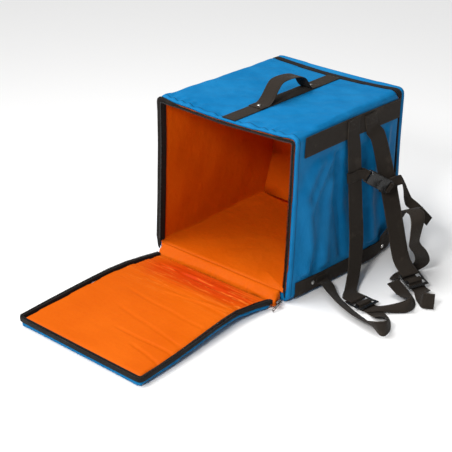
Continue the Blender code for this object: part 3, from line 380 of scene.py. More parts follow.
# Flat black zip tape and binding.
def tapeCloth():
    shader = Shader("zipTapeCloth", roughness=0.8, sheen=0.03, specular=0.12)
    where, axes = shader.axes()
    weave = weaveHeight(axes, tapeColours["weavePitch"])
    patch = shader.noise(where, 24.0, 4.0, 0.6)
    colour = shader.mix(weave * 0.6, tapeColours["main"], tapeColours["thread"])
    colour = shader.mix(shader.band(patch, 0.55, 0.78) * 0.35, colour, tapeColours["worn"])
    rough = shader.band(patch, 0.35, 0.65, 0.72, 0.9)
    return shader.made(colour, rough, shader.bump(patch, 0.45, 0.003, shader.bump(weave, 0.45, 0.0004)))


plasticColours = {"main": (0.007, 0.007, 0.007), "scuffed": (0.026, 0.025, 0.024)}


def mouldedPlastic():
    shader = Shader("mouldedPlastic", roughness=0.38, specular=0.5)
    where, _ = shader.axes()
    grain = shader.noise(where, 900.0, 2.0, 0.6)
    scuff = shader.noise(shader.stretched(where, (1.0, 4.0, 1.0)), 130.0, 5.0, 0.7)
    worn = shader.band(scuff, 0.55, 0.75) * 0.5
    colour = shader.mix(worn, plasticColours["main"], plasticColours["scuffed"])
    return shader.made(colour, shader.band(scuff, 0.4, 0.7, 0.22, 0.45), shader.bump(grain, 0.18, 0.0002))


def plateMetal(name, bright, dull, roughness):
    shader = Shader(name, roughness=roughness[0], metallic=1.0)
    where, _ = shader.axes()
    patina = shader.noise(where, 320.0, 5.0, 0.65)
    scratch = shader.noise(shader.stretched(where, (1.0, 9.0, 9.0)), 260.0, 3.0, 0.6)
    colour = shader.mix(shader.band(patina, 0.42, 0.72), bright, dull)
    rough = shader.band(patina * 0.5 + scratch * 0.5, 0.35, 0.65, *roughness)
    return shader.made(colour, rough, shader.bump(scratch, 0.12, 0.0002))


def threadCloth(name, dark, light):
    shader = Shader(name, roughness=0.7, sheen=0.2)
    where, _ = shader.axes()
    twist = shader.noise(where, 900.0, 2.0, 0.5)
    colour = shader.mix(shader.band(twist, 0.35, 0.65), dark, light)
    return shader.made(colour, normal=shader.bump(twist, 0.4, 0.0002))


floorColours = ((0.95, 0.95, 0.95), (0.93, 0.93, 0.93))


def floorMaterial():
    shader = Shader("paleFloor", roughness=0.75, specular=0.2)
    where, _ = shader.axes()
    return shader.made(shader.mix(shader.noise(where, 3.0, 2.0) * 0.3, *floorColours))


blue = blueCloth()
blueWall = blueCloth("blueWallCloth", creases=0.62, hemCreaseShaded=True)
orangeFlap = orangeCloth("orangeFlapCloth", wrinkles=0.42, paintedHingeShading=0.92)
orangeRoll = orangeCloth("orangeRollCloth", wrinkles=0.45)
orangeInside = orangeCloth("orangeInsideCloth", wrinkles=0.7, longWay=(1.0, 1.0, 0.8))
tape = tapeCloth()
plastic = mouldedPlastic()
nickel = plateMetal("nickelPlate", (0.8, 0.78, 0.74), (0.52, 0.5, 0.47), (0.16, 0.34))
zinc = plateMetal("zincMetal", (0.2, 0.195, 0.19), (0.085, 0.082, 0.08), (0.26, 0.46))
darkThread = threadCloth("darkThread", (0.012, 0.01, 0.009), (0.05, 0.043, 0.038))
blueThread = threadCloth("blueThread", (0.002, 0.05, 0.15), (0.004, 0.09, 0.25))
print("materials made")


def copyOf(node):
    bm = bmesh.new()
    bm.from_mesh(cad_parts[node].data)
    bmesh.ops.remove_doubles(bm, verts=bm.verts, dist=1e-6)
    return bm


def meshOf(name, bm):
    mesh = bpy.data.meshes.new(name)
    bm.to_mesh(mesh)
    bm.free()
    return mesh


def makePiece(name, bm, material, nodes=(), body="bag", smooth=True):
    mesh = meshOf(name, bm)
    if smooth:
        mesh.polygons.foreach_set("use_smooth", [True] * len(mesh.polygons))
    mesh.materials.append(material)
    piece = placed(name, mesh)
    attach(piece, body)
    if nodes:
        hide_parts(*nodes)
    return piece


def finer(bm, cuts):
    bmesh.ops.subdivide_edges(bm, edges=bm.edges, cuts=cuts, use_grid_fill=True)


def smoothed(bm, verts):
    bmesh.ops.smooth_vert(bm, verts=verts, factor=0.5, use_axis_x=True, use_axis_y=True, use_axis_z=True)


# Rounds the edges that turn by more than an angle in radians.
def roundEdges(bm, angle, offset, segments):
    sharp = [edge for edge in bm.edges if len(edge.link_faces) == 2 and edge.calc_face_angle(0) > angle]
    bmesh.ops.bevel(bm, geom=sharp, offset=offset, segments=segments, profile=0.5, affect="EDGES", material=-1,
                    clamp_overlap=True)


# A padded CAD form as an even, smooth mesh.
def remeshed(node, voxel, smoothing, shrink=0.0):
    form = placed("padForm", meshOf("padForm", copyOf(node)))
    modifier = form.modifiers.new("even", "REMESH")
    modifier.mode = "VOXEL"
    modifier.voxel_size = voxel
    bm = bmesh.new()
    bm.from_object(form, bpy.context.evaluated_depsgraph_get())
    bpy.data.objects.remove(form)
    for _ in range(smoothing):
        smoothed(bm, bm.verts)
    bm.normal_update()
    for vert in bm.verts:
        vert.co -= vert.normal * shrink
    bm.normal_update()
    return bm


# Moves each point of a mesh along its normal by what shape says of it.
def sculpt(bm, shape):
    bm.normal_update()
    moves = [(vert, vert.normal * shape(vert.co, vert.normal)) for vert in bm.verts]
    for vert, move in moves:
        vert.co += move


def resculpted(piece, shape):
    bm = bmesh.new()
    bm.from_mesh(piece.data)
    sculpt(bm, shape)
    bm.to_mesh(piece.data)
    bm.free()


def ease(value, start, end):
    share = min(1.0, max(0.0, (value - start) / (end - start)))
    return share * share * (3 - 2 * share)


def hump(value, centre, width):
    return math.exp(-((value - centre) / width) ** 2)


def lumpy(place, scale, seed=0.0):
    return noise.noise(Vector(place) * scale + Vector((seed, seed * 0.7, -seed)))


clothFrames = 20
clothValues = {
    "quality": 4,
    "mass": 0.3,
    "tension_stiffness": 15.0,
    "compression_stiffness": 15.0,
    "bending_stiffness": 0.5,
    "use_pressure": True,
}


# Padding swells the piece: cloth under pressure, and no point moves further than the cap.
def puffed(piece, pressure, cap):
    start = [vert.co.copy() for vert in piece.data.vertices]
    cloth = piece.modifiers.new("padding", "CLOTH")
    for key, value in clothValues.items():
        setattr(cloth.settings, key, value)
    cloth.settings.uniform_pressure_force = pressure
    cloth.settings.effector_weights.gravity = 0.0
    cloth.collision_settings.use_collision = False
    cloth.point_cache.frame_start = 1
    cloth.point_cache.frame_end = clothFrames
    for number in range(1, clothFrames + 1):
        scene.frame_set(number)
    graph = bpy.context.evaluated_depsgraph_get()
    swollen = [vert.co.copy() for vert in piece.evaluated_get(graph).data.vertices]
    piece.modifiers.clear()
    scene.frame_set(1)
    for vert, before, after in zip(piece.data.vertices, start, swollen):
        move = after - before
        if move.length > cap:
            move = move * (cap / move.length)
        vert.co = before + move


def surfaceOf(piece):
    bm = bmesh.new()
    bm.from_mesh(piece.data)
    tree = BVHTree.FromBMesh(bm)
    bm.free()
    return tree


# Points at an even pitch along a line of points, with the way the line runs.
def evenly(points, pitch):
    points = [Vector(point) for point in points]
    lengths = [(b - a).length for a, b in zip(points, points[1:])]
    count = max(1, round(sum(lengths) / pitch))
    step = sum(lengths) / count
    found = []
    for number in range(count):
        left = (number + 0.5) * step
        for a, b, length in zip(points, points[1:], lengths):
            if left <= length:
                break
            left -= length
        run = (b - a).normalized()
        found.append((a + run * left, run))
    return found


threadValues = {"pitch": 0.0042, "length": 0.003, "width": 0.0006, "lift": 0.0001}


# Sewing thread that lies on a surface along lines of points.
def stitched(name, tree, lines, material):
    half = threadValues["width"] / 2
    bm = bmesh.new()
    for line in lines:
        for place, run in evenly(line, threadValues["pitch"]):
            spot, normal, _, _ = tree.find_nearest(place)
            run = (run - normal * run.dot(normal)).normalized()
            side = normal.cross(run)
            turn = Matrix((run, side, normal)).transposed().to_4x4()
            turn.translation = spot + normal * threadValues["lift"]
            size = Matrix.Diagonal((threadValues["length"] / 2, half, half, 1.0))
            bmesh.ops.create_icosphere(bm, subdivisions=1, radius=1.0, matrix=turn @ size)
    makePiece(name, bm, material)


# size is along, across and up; raise and outset are shares of it, taper of half a tooth
teethValues = {"pitch": 0.0031, "size": (0.0019, 0.0044, 0.0018), "raise": 0.3, "outset": 0.2, "taper": 0.45}


# A row of moulded zip teeth that stand on a surface near a line, their heads towards outward(place).
def zipTeeth(name, tree, line, outward):
    size = teethValues["size"]
    bm = bmesh.new()
    for place, run in evenly(line, teethValues["pitch"]):
        spot, normal, _, _ = tree.find_nearest(place)
        way = Vector(outward(spot))
        way = (way - normal * way.dot(normal)).normalized()
        turn = Matrix((way.cross(normal), way, normal)).transposed().to_4x4()
        turn.translation = spot + normal * size[2] * teethValues["raise"] + way * size[1] * teethValues["outset"]
        made = bmesh.ops.create_cube(bm, size=1.0, matrix=turn @ Matrix.Diagonal((*size, 1.0)))
        for vert in made["verts"]:  # each tooth narrows to its head
            offset = vert.co - turn.translation
            if offset.dot(way) > 0:
                vert.co -= run * offset.dot(run) * teethValues["taper"]
    makePiece(name, bm, plastic, smooth=False)


bodyValues = {
    "voxel": 0.0044,
    "smoothing": 4,
    # folds of the wearer's side: places (y, z) along each, width, height
    "folds": (
        (((-0.126, 0.352), (-0.189, 0.262), (-0.161, 0.145), (-0.168, 0.06)), 0.021, 0.0111),
        (((-0.0805, 0.345), (-0.155, 0.233)), 0.017, 0.0091),
        (((-0.058, 0.33), (-0.047, 0.18), (-0.032, 0.05)), 0.016, -0.0081),
        (((-0.08, 0.26), (-0.098, 0.13), (-0.112, 0.055)), 0.022, 0.0078),
        (((0.052, 0.31), (0.04, 0.18), (0.028, 0.06)), 0.017, -0.0078),
        (((0.1, 0.33), (0.095, 0.242), (0.086, 0.06)), 0.02, 0.0101),
        (((0.165, 0.335), (0.14, 0.22), (0.15, 0.07)), 0.017, 0.0081),
    ),
    # dents pressed in beside the rivets: y, z, radius, depth
    "dents": (
        (-0.14, 0.066, 0.017, -0.007),
        (-0.118, 0.088, 0.022, 0.003),
        (0.14, 0.062, 0.018, -0.007),
        (0.118, 0.085, 0.022, 0.003),
    ),
    "puckers": 0.0025,
    "topCreases": 0.0026,
    "wallCreases": 0.002,
    "hem": (-0.2195, -0.2165, 0.0009),
    # where the folds die out: y at the front and the rear, z at the two bands
    "front": (-0.232, -0.205),
    "rear": (0.15, 0.18),
    "lowBand": (0.05, 0.066),
    "highBand": (0.325, 0.345),
    # the handle's webbing: x of its middle, then how far from it the top lies flat
    "handleX": 0.01,
    "handleFlat": (0.024, 0.036),
}


# How far a place (a, b) is from a line of places.
def lineDistance(a, b, places):
    least = 1.0
    for (fromA, fromB), (toA, toB) in zip(places, places[1:]):
        runA, runB = toA - fromA, toB - fromB
        share = ((a - fromA) * runA + (b - fromB) * runB) / (runA * runA + runB * runB)
        share = min(1.0, max(0.0, share))
        least = min(least, math.hypot(a - fromA - share * runA, b - fromB - share * runB))
    return least


def bodyShape(co, normal):
    outward = normal.x * co.x + normal.z * (co.z - 0.2)
    if outward <= 0 or co.z < 0.012 or abs(normal.y) > 0.7:
        return 0.0
    quiet = ease(co.y, *bodyValues["front"]) * (1 - ease(co.y, *bodyValues["rear"]))
    rise = (lumpy(co, 9.0) * 0.002 + lumpy(co, 24.0, 3.0) * 0.0008) * quiet
    if co.x > 0.15 and normal.x > 0.4:  # wearer's side, calm under its two bands
        free = ease(co.z, *bodyValues["lowBand"]) * (1 - ease(co.z, *bodyValues["highBand"])) * quiet
        rise *= free
        rise += lumpy((0, co.y + 0.3 * co.z, co.z * 0.25), 34.0, 6.0) * bodyValues["wallCreases"] * free
        y = co.y + lumpy((0, co.y, co.z), 11.0, 2.0) * 0.008
        for places, width, height in bodyValues["folds"]:
            rise += height * hump(lineDistance(y, co.z, places), 0.0, width) * free
        for y, z, radius, depth in bodyValues["dents"]:
            rise += depth * math.exp(-((co.y - y) ** 2 + (co.z - z) ** 2) / radius ** 2) * ease(co.z, 0.046, 0.056)
        start, end, height = bodyValues["hem"]
        return rise - 0.0003 * (1 - free) + height * (1 - ease(co.y, start, end))
    if normal.z > 0.5:  # top: puckers where the opening's binding gathers it
        strap = ease(abs(co.x - bodyValues["handleX"]), *bodyValues["handleFlat"])
        rise += lumpy(((co.x + co.y) * 0.3, co.x - co.y, 0), 19.0, 4.0) * bodyValues["topCreases"] * quiet
        rise *= strap
        gather = hump(co.y, -0.212, 0.016) * ease(co.y, -0.229, -0.222)
        waves = math.sin(co.x * 210 + lumpy((co.x, 0, 0), 14.0) * 5)
        waves += 0.6 * math.sin(co.x * 95 + 1.0)
        return rise + bodyValues["puckers"] * gather * waves * strap - 0.0003 * (1 - strap)
    return rise


def makeBody():
    bm = remeshed("shell", bodyValues["voxel"], bodyValues["smoothing"])
    sculpt(bm, bodyShape)
    piece = makePiece("bagBody", bm, blueWall, ["shell"])
    return piece


rearValues = {"voxel": 0.0048, "smoothing": 4, "quilt": 0.003}


def rearShape(co, normal):
    if normal.y < 0.4:
        return 0.0
    edge = ease(0.2 - abs(co.x), 0.004, 0.03) * ease(co.z, 0.004, 0.03) * (1 - ease(co.z, 0.39, 0.415))
    sag = hump(co.z, 0.2, 0.13) * hump(co.x, 0.02, 0.16)
    return edge * (lumpy(co, 8.0, 5.0) * rearValues["quilt"] + lumpy(co, 21.0, 2.0) * 0.001 + 0.0012 * sag)


def makeRear():
    bm = remeshed("rear_panel", rearValues["voxel"], rearValues["smoothing"])
    sculpt(bm, rearShape)
    piece = makePiece("rearWall", bm, blue, ["rear_panel"])


liningValues = {"cuts": 3, "billow": 0.00204, "rearBillow": 0.004}


# Only the face seen inside the bag billows, away from the padding behind it.
def liningShape(co, normal):
    inward = -(normal.x * co.x + normal.z * (co.z - 0.2))
    if inward <= 0 or abs(normal.y) > 0.6:
        return 0.0
    quiet = ease(co.y, -0.204, -0.185) * (1 - ease(co.y, 0.17, 0.2))
    corner = ease(0.19 - abs(co.x), -0.012, 0.02) if abs(normal.z) > 0.5 else 1.0
    waves = max(0.0, lumpy((co.x, co.y, co.z * 1.6), 16.0, 8.0) + 0.35)
    return quiet * corner * waves * liningValues["billow"]


def rearLiningShape(co, normal):
    if normal.y >= -0.4:
        return 0.0
    edge = ease(0.195 - abs(co.x), 0.0, 0.04) * ease(co.z, 0.03, 0.07) * (1 - ease(co.z, 0.36, 0.4))
    return edge * max(0.0, lumpy(co, 13.0, 4.0) + 0.3) * liningValues["rearBillow"]


def makeLining():
    bm = copyOf("lining")
    finer(bm, liningValues["cuts"])
    sculpt(bm, liningShape)
    piece = makePiece("innerLining", bm, orangeInside, ["lining"])
    bm = copyOf("rear_lining")
    finer(bm, liningValues["cuts"])
    sculpt(bm, rearLiningShape)
    rear = makePiece("innerRearLining", bm, orangeInside, ["rear_lining"])


bodyPiece = makeBody()
makeRear()
makeLining()
print("bag body made")

flapValues = {
    "voxel": 0.0042,
    "smoothing": 3,
    "shrink": 0.0012,
    "pressure": 4.0,
    "cap": 0.003,
    "thick": 0.0121,
    "flatFrom": -0.275,
    # its bow off the floor: y where it starts, length, height, then shares of the length and the height
    "bowFrom": -0.271,
    "bowLength": 0.43,
    "bowHeight": 0.016,
    "bow": ((0.0, 0.0), (0.12, 0.36), (0.26, 0.66), (0.5, 0.56), (0.75, 0.25), (1.0, 0.0)),
}


def makeFlapPad():
    bm = remeshed("flap_panel", flapValues["voxel"], flapValues["smoothing"], flapValues["shrink"])
    rest = {vert.index: vert.co.z for vert in bm.verts if vert.normal.z < -0.3}
    piece = makePiece("flapOuter", bm, blue, ["flap_panel"])
    puffed(piece, flapValues["pressure"], flapValues["cap"])
    for vert in piece.data.vertices:
        if vert.index in rest:
            vert.co.z = max(0.0002, rest[vert.index])
        if vert.co.y < flapValues["flatFrom"]:
            vert.co.z = min(vert.co.z, flapValues["thick"] + flapLift(vert.co.y))


# Height of the flap's underside where it bows off the floor.
def flapLift(y):
    share = min(1.0, max(0.0, (flapValues["bowFrom"] - y) / flapValues["bowLength"]))
    for (low, a), (high, b) in zip(flapValues["bow"], flapValues["bow"][1:]):
        if share <= high:
            return flapValues["bowHeight"] * (a + (b - a) * ease(share, low, high))
    return 0.0


liningPadValues = {
    "voxel": 0.004,
    "smoothing": 3,
    "pressure": 3.0,
    "cap": 0.0016,
    # long creases: x and y of both ends, width, depth
    "creases": (
        ((-0.165, -0.292), (0.176, -0.3), 0.0035, -0.0016),
        ((-0.12, -0.306), (0.178, -0.312), 0.003, 0.0014),
        ((-0.06, -0.322), (0.18, -0.324), 0.0034, -0.0014),
        ((-0.01, -0.333), (0.18, -0.342), 0.003, 0.0016),
        ((0.01, -0.352), (0.178, -0.36), 0.0036, -0.0014),
        ((-0.07, -0.372), (0.172, -0.378), 0.0036, 0.0014),
        ((-0.115, -0.398), (0.17, -0.412), 0.0046, -0.0012),
        ((-0.1, -0.462), (0.174, -0.486), 0.004, -0.0013),
        ((-0.06, -0.53), (0.174, -0.566), 0.0034, -0.0015),
        ((0.005, -0.599), (0.184, -0.599), 0.0028, -0.0026),
        ((0.077, -0.624), (0.195, -0.647), 0.0028, -0.0026),
        ((-0.157, -0.332), (0.074, -0.3), 0.003, 0.0022),
        ((-0.019, -0.418), (0.151, -0.389), 0.0034, 0.002),
        ((-0.128, -0.313), (0.139, -0.326), 0.0026, -0.0024),
    ),
}


def flapLiningShape(co, normal):
    if normal.z < 0.4:
        return 0.0
    rise = lumpy(co, 7.0, 6.0) * 0.0014 + lumpy((co.x * 0.4, co.y, 0), 30.0, 9.0) * 0.0005
    for (ax, ay), (bx, by), width, depth in liningPadValues["creases"]:
        share = (co.x - ax) / (bx - ax)
        if -0.05 < share < 1.05:
            line = ay + (by - ay) * share + lumpy((co.x, ay, 0), 12.0) * 0.005
            rise += depth * hump(co.y, line, width) * ease(share, -0.05, 0.15) * (1 - ease(share, 0.9, 1.05))
    near = hump(co.y, -0.33, 0.05)
    return rise + near * 0.0009 * math.sin(co.y * 620 + lumpy((co.x, co.y, 0), 9.0) * 6)


def makeFlapLining():
    bm = remeshed("flap_lining", liningPadValues["voxel"], liningPadValues["smoothing"])
    piece = makePiece("flapInner", bm, orangeFlap, ["flap_lining"])
    under = {vert.index: vert.co.z for vert in piece.data.vertices if vert.normal.z < -0.3}
    puffed(piece, liningPadValues["pressure"], liningPadValues["cap"])
    for index, height in under.items():
        piece.data.vertices[index].co.z = height
    resculpted(piece, flapLiningShape)


rollValues = {
    "voxel": 0.004,
    "smoothing": 4,
    "shrink": 0.0006,
    "pressure": 4.0,
    "cap": 0.0022,
    "rearY": -0.2306,
    "lowZ": 0.0037,
}


def rollShape(co, normal):
    if normal.z < 0.1:
        return 0.0
    ends = ease(0.2 - abs(co.x), 0.0, 0.02)
    gather = math.sin(co.x * 150 + lumpy((co.x, 0, 0), 17.0) * 6) * hump(co.y, -0.268, 0.01)
    return (lumpy((co.x * 0.6, co.y, co.z), 22.0, 1.0) * 0.0016 + gather * 0.0011) * ends


def makeRoll():
    bm = remeshed("hinge_lip", rollValues["voxel"], rollValues["smoothing"], rollValues["shrink"])
    piece = makePiece("foldRoll", bm, orangeRoll, ["hinge_lip"])
    puffed(piece, rollValues["pressure"], rollValues["cap"])
    for vert in piece.data.vertices:  # it stays in front of the opening and on the flap's hem
        vert.co.y = min(vert.co.y, rollValues["rearY"])
        vert.co.z = max(vert.co.z, rollValues["lowZ"])
    resculpted(piece, rollShape)


makeFlapPad()
makeFlapLining()
makeRoll()
print("flap made")

tapeValues = {"cuts": 1, "ripple": 0.0005}
wovenEdge = {"angle": 0.9, "offset": 0.0005, "segments": 2}


def tapePiece(name, node):
    bm = copyOf(node)
    finer(bm, tapeValues["cuts"])
    sculpt(bm, lambda co, normal: lumpy(co, 60.0, 7.0) * tapeValues["ripple"])
    roundEdges(bm, **wovenEdge)
    return makePiece(name, bm, tape, [node])


bindingTree = surfaceOf(tapePiece("openingBinding", "opening_tape"))
flapTree = surfaceOf(tapePiece("flapZipTape", "flap_tape"))
tapePiece("rearZipBand", "rear_zip_tape")
# places along the outer edge of the flap's tape and of the opening's binding
flapEdge = (
    (-0.1734, -0.272, 0.0245), (-0.1857, -0.4325, 0.035), (-0.1894, -0.5936, 0.0285), (-0.1886, -0.706, 0.0245),
    (-0.18, -0.7136, 0.0245), (-0.087, -0.714, 0.0245), (0.183, -0.714, 0.0245), (0.193, -0.71, 0.0245),
    (0.196, -0.701, 0.0245), (0.1897, -0.5399, 0.031), (0.1785, -0.3788, 0.035), (0.1795, -0.276, 0.0245))
bindingEdge = (
    (-0.201, -0.2352, 0.04), (-0.1998, -0.2352, 0.0924), (-0.1937, -0.2352, 0.2936), (-0.1948, -0.2352, 0.403),
    (-0.1397, -0.232, 0.4024), (0.0, -0.232, 0.3982), (0.141, -0.232, 0.4024), (0.1985, -0.232, 0.403),
    (0.1979, -0.232, 0.2936), (0.1934, -0.232, 0.0924), (0.1904, -0.232, 0.04))
flapCentre, flapFoot = Vector((0.0, -0.45, 0.028)), Vector((0.0, -0.45, 0.0))
bindingCentre = Vector((0.0, -0.234, 0.2))
rowValues = {"flapTeeth": 0.008, "bindingTeeth": -0.008, "flapSeam": 0.03, "off": 0.003}


# The line drawn in by a share of the way to a centre, then shifted off the surface.
def drawnIn(line, centre, share, shift):
    return [Vector(place).lerp(centre, share) + Vector(shift) for place in line]


above, before = (0, 0, rowValues["off"]), (0, -rowValues["off"], 0)
zipTeeth("flapZipTeeth", flapTree, drawnIn(flapEdge, flapCentre, rowValues["flapTeeth"], above),
         lambda place: place - flapFoot)
zipTeeth("bindingZipTeeth", bindingTree, drawnIn(bindingEdge, bindingCentre, rowValues["bindingTeeth"], before),
         lambda place: bindingCentre - place)
stitched("flapTapeStitches", flapTree, [drawnIn(flapEdge, flapCentre, rowValues["flapSeam"], above)], darkThread)
print("tapes made")

webbingValues = {
    # piece: (node, width, a point at one end or on the loop, closed loop)
    "leftShoulderStrap": ("shoulder_strap_left", 0.05, (0.209, -0.0046, 0.403), False),
    "rightShoulderStrap": ("shoulder_strap_right", 0.05, (0.2075, 0.0653, 0.396), False),
    "leftLowerStrap": ("lower_strap_left", 0.04, (0.219, -0.1178, 0.0395), False),
    "rightLowerStrap": ("lower_strap_right", 0.04, (0.229, 0.1541, 0.037), False),
    "chestTail": ("chest_tail", 0.025, None, False),
    "leftChestLoop": ("chest_loop_left", 0.025, None, True),
    "rightChestLoop": ("chest_loop_right", 0.025, None, True),
    "handleBase": ("handle_base", 0.04, (0.01, -0.226, 0.4123), False),
    "handleLoop": ("handle_loop", 0.04, (0.01, -0.13, 0.4145), False),
}
webProfile = {
    "thick": 0.0018,
    "widths": (0.025, 0.04, 0.05),
    "spacing": 0.0042,
    # places across a face as shares of half the width, and the thickness left at its edges
    "across": (-1, -0.86, -0.5, 0, 0.5, 0.86, 1),
    "edge": 0.55,
    "bulge": 0.0003,
}


def byDistance(verts, place):
    return sorted(verts, key=lambda vert: ((vert.co - place).length, vert.index))


# Sections of four corners along a strap of webbing, each in the order of the one before.
def ringsOf(bm, start, closed):
    bm.verts.ensure_lookup_table()
    bm.verts.index_update()
    if start is None:
        start = bm.verts[0].co if closed else endOf(bm)
    rings = [sectionAt(byDistance(bm.verts, Vector(start))[0])]
    seen = set(rings[0])
    while True:
        near = {edge.other_vert(vert) for vert in rings[-1] for edge in vert.link_edges}
        near = sorted(near - seen, key=lambda vert: vert.index)
        if not near:
            break
        if len(rings) == 1 and closed:
            seed = near[0]
            near = bestSection(seed, byDistance(near, seed.co)[1:])
        if len(near) > 4:
            middle = sum((vert.co for vert in rings[-1]), Vector()) / 4
            near = byDistance(near, middle)[:4]
        if len(near) < 4:
            break
        rings.append(matched(rings[-1], near))
        seen.update(near)
    return [[vert.co.copy() for vert in ring] for ring in rings]


# A corner of an open strap's end: the one that most edges lie away from.
def endOf(bm):
    start = bm.verts[0]
    for _ in range(2):
        seen, layer = {start}, {start}
        while layer:
            last = layer
            layer = {edge.other_vert(vert) for vert in layer for edge in vert.link_edges} - seen
            seen.update(layer)
        start = min(last, key=lambda vert: vert.index)
    return start.co


# The four corners of the section that a corner belongs to.
def sectionAt(vert):
    around = {edge.other_vert(vert) for edge in vert.link_edges}
    wider = around | {edge.other_vert(other) for other in around for edge in other.link_edges}
    wider.discard(vert)
    return bestSection(vert, byDistance(wider, vert.co)[:14])


# The best section that a corner makes with three others.
def bestSection(vert, others):
    return min((cornerOrder([vert, *trio]) for trio in itertools.combinations(others, 3)), key=sectionScore)


# How far four corners are from a flat webbing section, two sides short and two alike and long.
def sectionScore(corners):
    points = [corner.co for corner in corners]
    sides = [(points[i] - points[(i + 1) % 4]).length for i in range(4)]
    shorts = abs(sides[1] - webProfile["thick"]) + abs(sides[3] - webProfile["thick"])
    longs = min(abs(sides[0] - wide) + abs(sides[2] - wide) for wide in webProfile["widths"])
    twist = abs((points[0] - points[2]).length - (points[1] - points[3]).length)
    return shorts + longs + twist


# Corners in the order long side, short side, long side, short side.
def cornerOrder(corners):
    first, *others = corners
    partner, *far = byDistance(others, first.co)
    far = byDistance(far, partner.co)
    return [first, far[1], far[0], partner]


# The next section's corners in this section's order.
def matched(ring, near):
    order = cornerOrder(near)
    turns = [[order[(shift + way * i) % 4] for i in range(4)] for shift in range(4) for way in (1, -1)]
    return min(turns, key=lambda turn: sum((a.co - b.co).length_squared for a, b in zip(ring, turn)))


# Vectors joined by a smooth curve whose speed follows their spacing.
def curveThrough(values, steps):
    gaps = [max(1e-6, (b[0] - a[0]).length) for a, b in zip(values, values[1:])]
    count = len(values)

    def slope(i, part):
        low, high = max(0, i - 1), min(count - 1, i + 1)
        return (values[high][part] - values[low][part]) / sum(gaps[low:high])

    found = []
    for i, gap in enumerate(gaps):
        pieces = max(1, math.ceil(gap / steps))
        for step in range(pieces):
            t = step / pieces
            row = []
            for part in range(2):
                a, b = values[i][part], values[i + 1][part]
                rise = t * t * (3 - 2 * t)
                leave, arrive = gap * t * (1 - t) ** 2, gap * t * t * (t - 1)
                row.append(a + (b - a) * rise + slope(i, part) * leave + slope(i + 1, part) * arrive)
            found.append(row)
    return found + [list(values[-1])]


# Webbing along the way of its CAD node, with rounded edges and a map across and along it.
def webbing(name, node, width, start, closed):
    form = copyOf(node)
    stations = [(sum(ring, Vector()) / 4, (ring[1] - ring[0] + ring[2] - ring[3]).normalized())
                for ring in ringsOf(form, start, closed)]
    form.free()
    if closed:
        stations.append(stations[0])
    route = curveThrough(stations, webProfile["spacing"])
    half, thick = width / 2, webProfile["thick"] / 2
    outline = [(a, -1) for a in webProfile["across"]] + [(a, 1) for a in reversed(webProfile["across"])]
    shape = [(a * half, b * thick * (webProfile["edge"] if abs(a) == 1 else 1.0)) for a, b in outline]
    bm = bmesh.new()
    layer = bm.loops.layers.uv.new("weave")
    mapped = {}
    ring = []
    travelled = 0.0
    last = len(route) - 1

    def placeAt(number):
        return route[number % last if closed else min(last, max(0, number))][0]

    for number, (middle, across) in enumerate(route):
        run = (placeAt(number + 1) - placeAt(number - 1)).normalized()
        side = across.normalized()
        face = run.cross(side).normalized()
        if number:
            travelled += (middle - route[number - 1][0]).length
        if not ring:
            ring = [bm.verts.new((0, 0, 0)) for _ in shape]
            edges = [bm.edges.new(pair) for pair in zip(ring, ring[1:] + ring[:1])]
        else:
            made = bmesh.ops.extrude_edge_only(bm, edges=edges)["geom"]
            corners = [item for item in made if isinstance(item, bmesh.types.BMVert)]
            edges = [item for item in made if isinstance(item, bmesh.types.BMEdge)
                     and item.verts[0] in corners and item.verts[1] in corners]
            fresh = {}
            for vert in corners:
                for edge in vert.link_edges:
                    other = edge.other_vert(vert)
                    if other in mapped and other in ring:
                        fresh[ring.index(other)] = vert
            ring = [fresh[i] for i in range(len(shape))]
        bulge = lumpy(middle, 35.0, 2.0) * webProfile["bulge"]
        for vert, (a, b) in zip(ring, shape):
            vert.co = middle + side * a + face * (b + bulge)
            mapped[vert] = (a, travelled)
    if closed:
        bmesh.ops.remove_doubles(bm, verts=bm.verts, dist=1e-5)
    else:
        end = [edge for edge in bm.edges if edge.is_boundary and edge.verts[0] in ring]
        bmesh.ops.contextual_create(bm, geom=end)
        bmesh.ops.holes_fill(bm, edges=[edge for edge in bm.edges if edge.is_boundary])
    for face in bm.faces:
        for loop in face.loops:
            if loop.vert in mapped:
                loop[layer].uv = mapped[loop.vert]
    bmesh.ops.recalc_face_normals(bm, faces=bm.faces)
    return makePiece(name, bm, webMaterials[width], [node])


webMaterials = {
    width: webbingCloth("webbing" + str(round(width * 1000)), "weave", width) for width in webProfile["widths"]}
webs = {name: webbing(name, *values) for name, values in webbingValues.items()}
bandValues = {"cuts": 2, "smoothUnder": 0.5}


def bandPiece(name, node):
    bm = copyOf(node)
    finer(bm, bandValues["cuts"])
    smoothed(bm, [vert for vert in bm.verts
                  if all(edge.calc_face_angle(0) < bandValues["smoothUnder"] for edge in vert.link_edges)])
    roundEdges(bm, **wovenEdge)
    return makePiece(name, bm, bandCloth, [node])


bandCloth = webbingCloth("bandWebbing")
topBand = bandPiece("upperBand", "top_band")
bottomBand = bandPiece("lowerBand", "bottom_band")


# Four sides and two diagonals of a sewn box.
def sewnBox(a, b, c, d):
    return [(a, b), (b, c), (c, d), (d, a), (a, c), (b, d)]


stitchValues = {
    "band": (0.2085, -0.1955, 0.1995),  # x, y at the front and the rear
    "base": (-0.2235, 0.188),  # y of both ends
    "baseHalf": 0.0172,
    "topZ": 0.42,
    "footHalf": 0.016,
    "feet": ((-0.1265, -0.1045), (0.0765, 0.0985)),
    "strapX": 0.216,
    "hemY": -0.2175,
}


# Lines along a band of the wearer's side, at heights over its lower edge.
def bandLines(lowFront, lowRear, heights):
    x, front, rear = stitchValues["band"]
    return [((x, front, lowFront + up), (x, (front + rear) / 2, (lowFront + lowRear) / 2 + up),
             (x, rear, lowRear + up)) for up in heights]


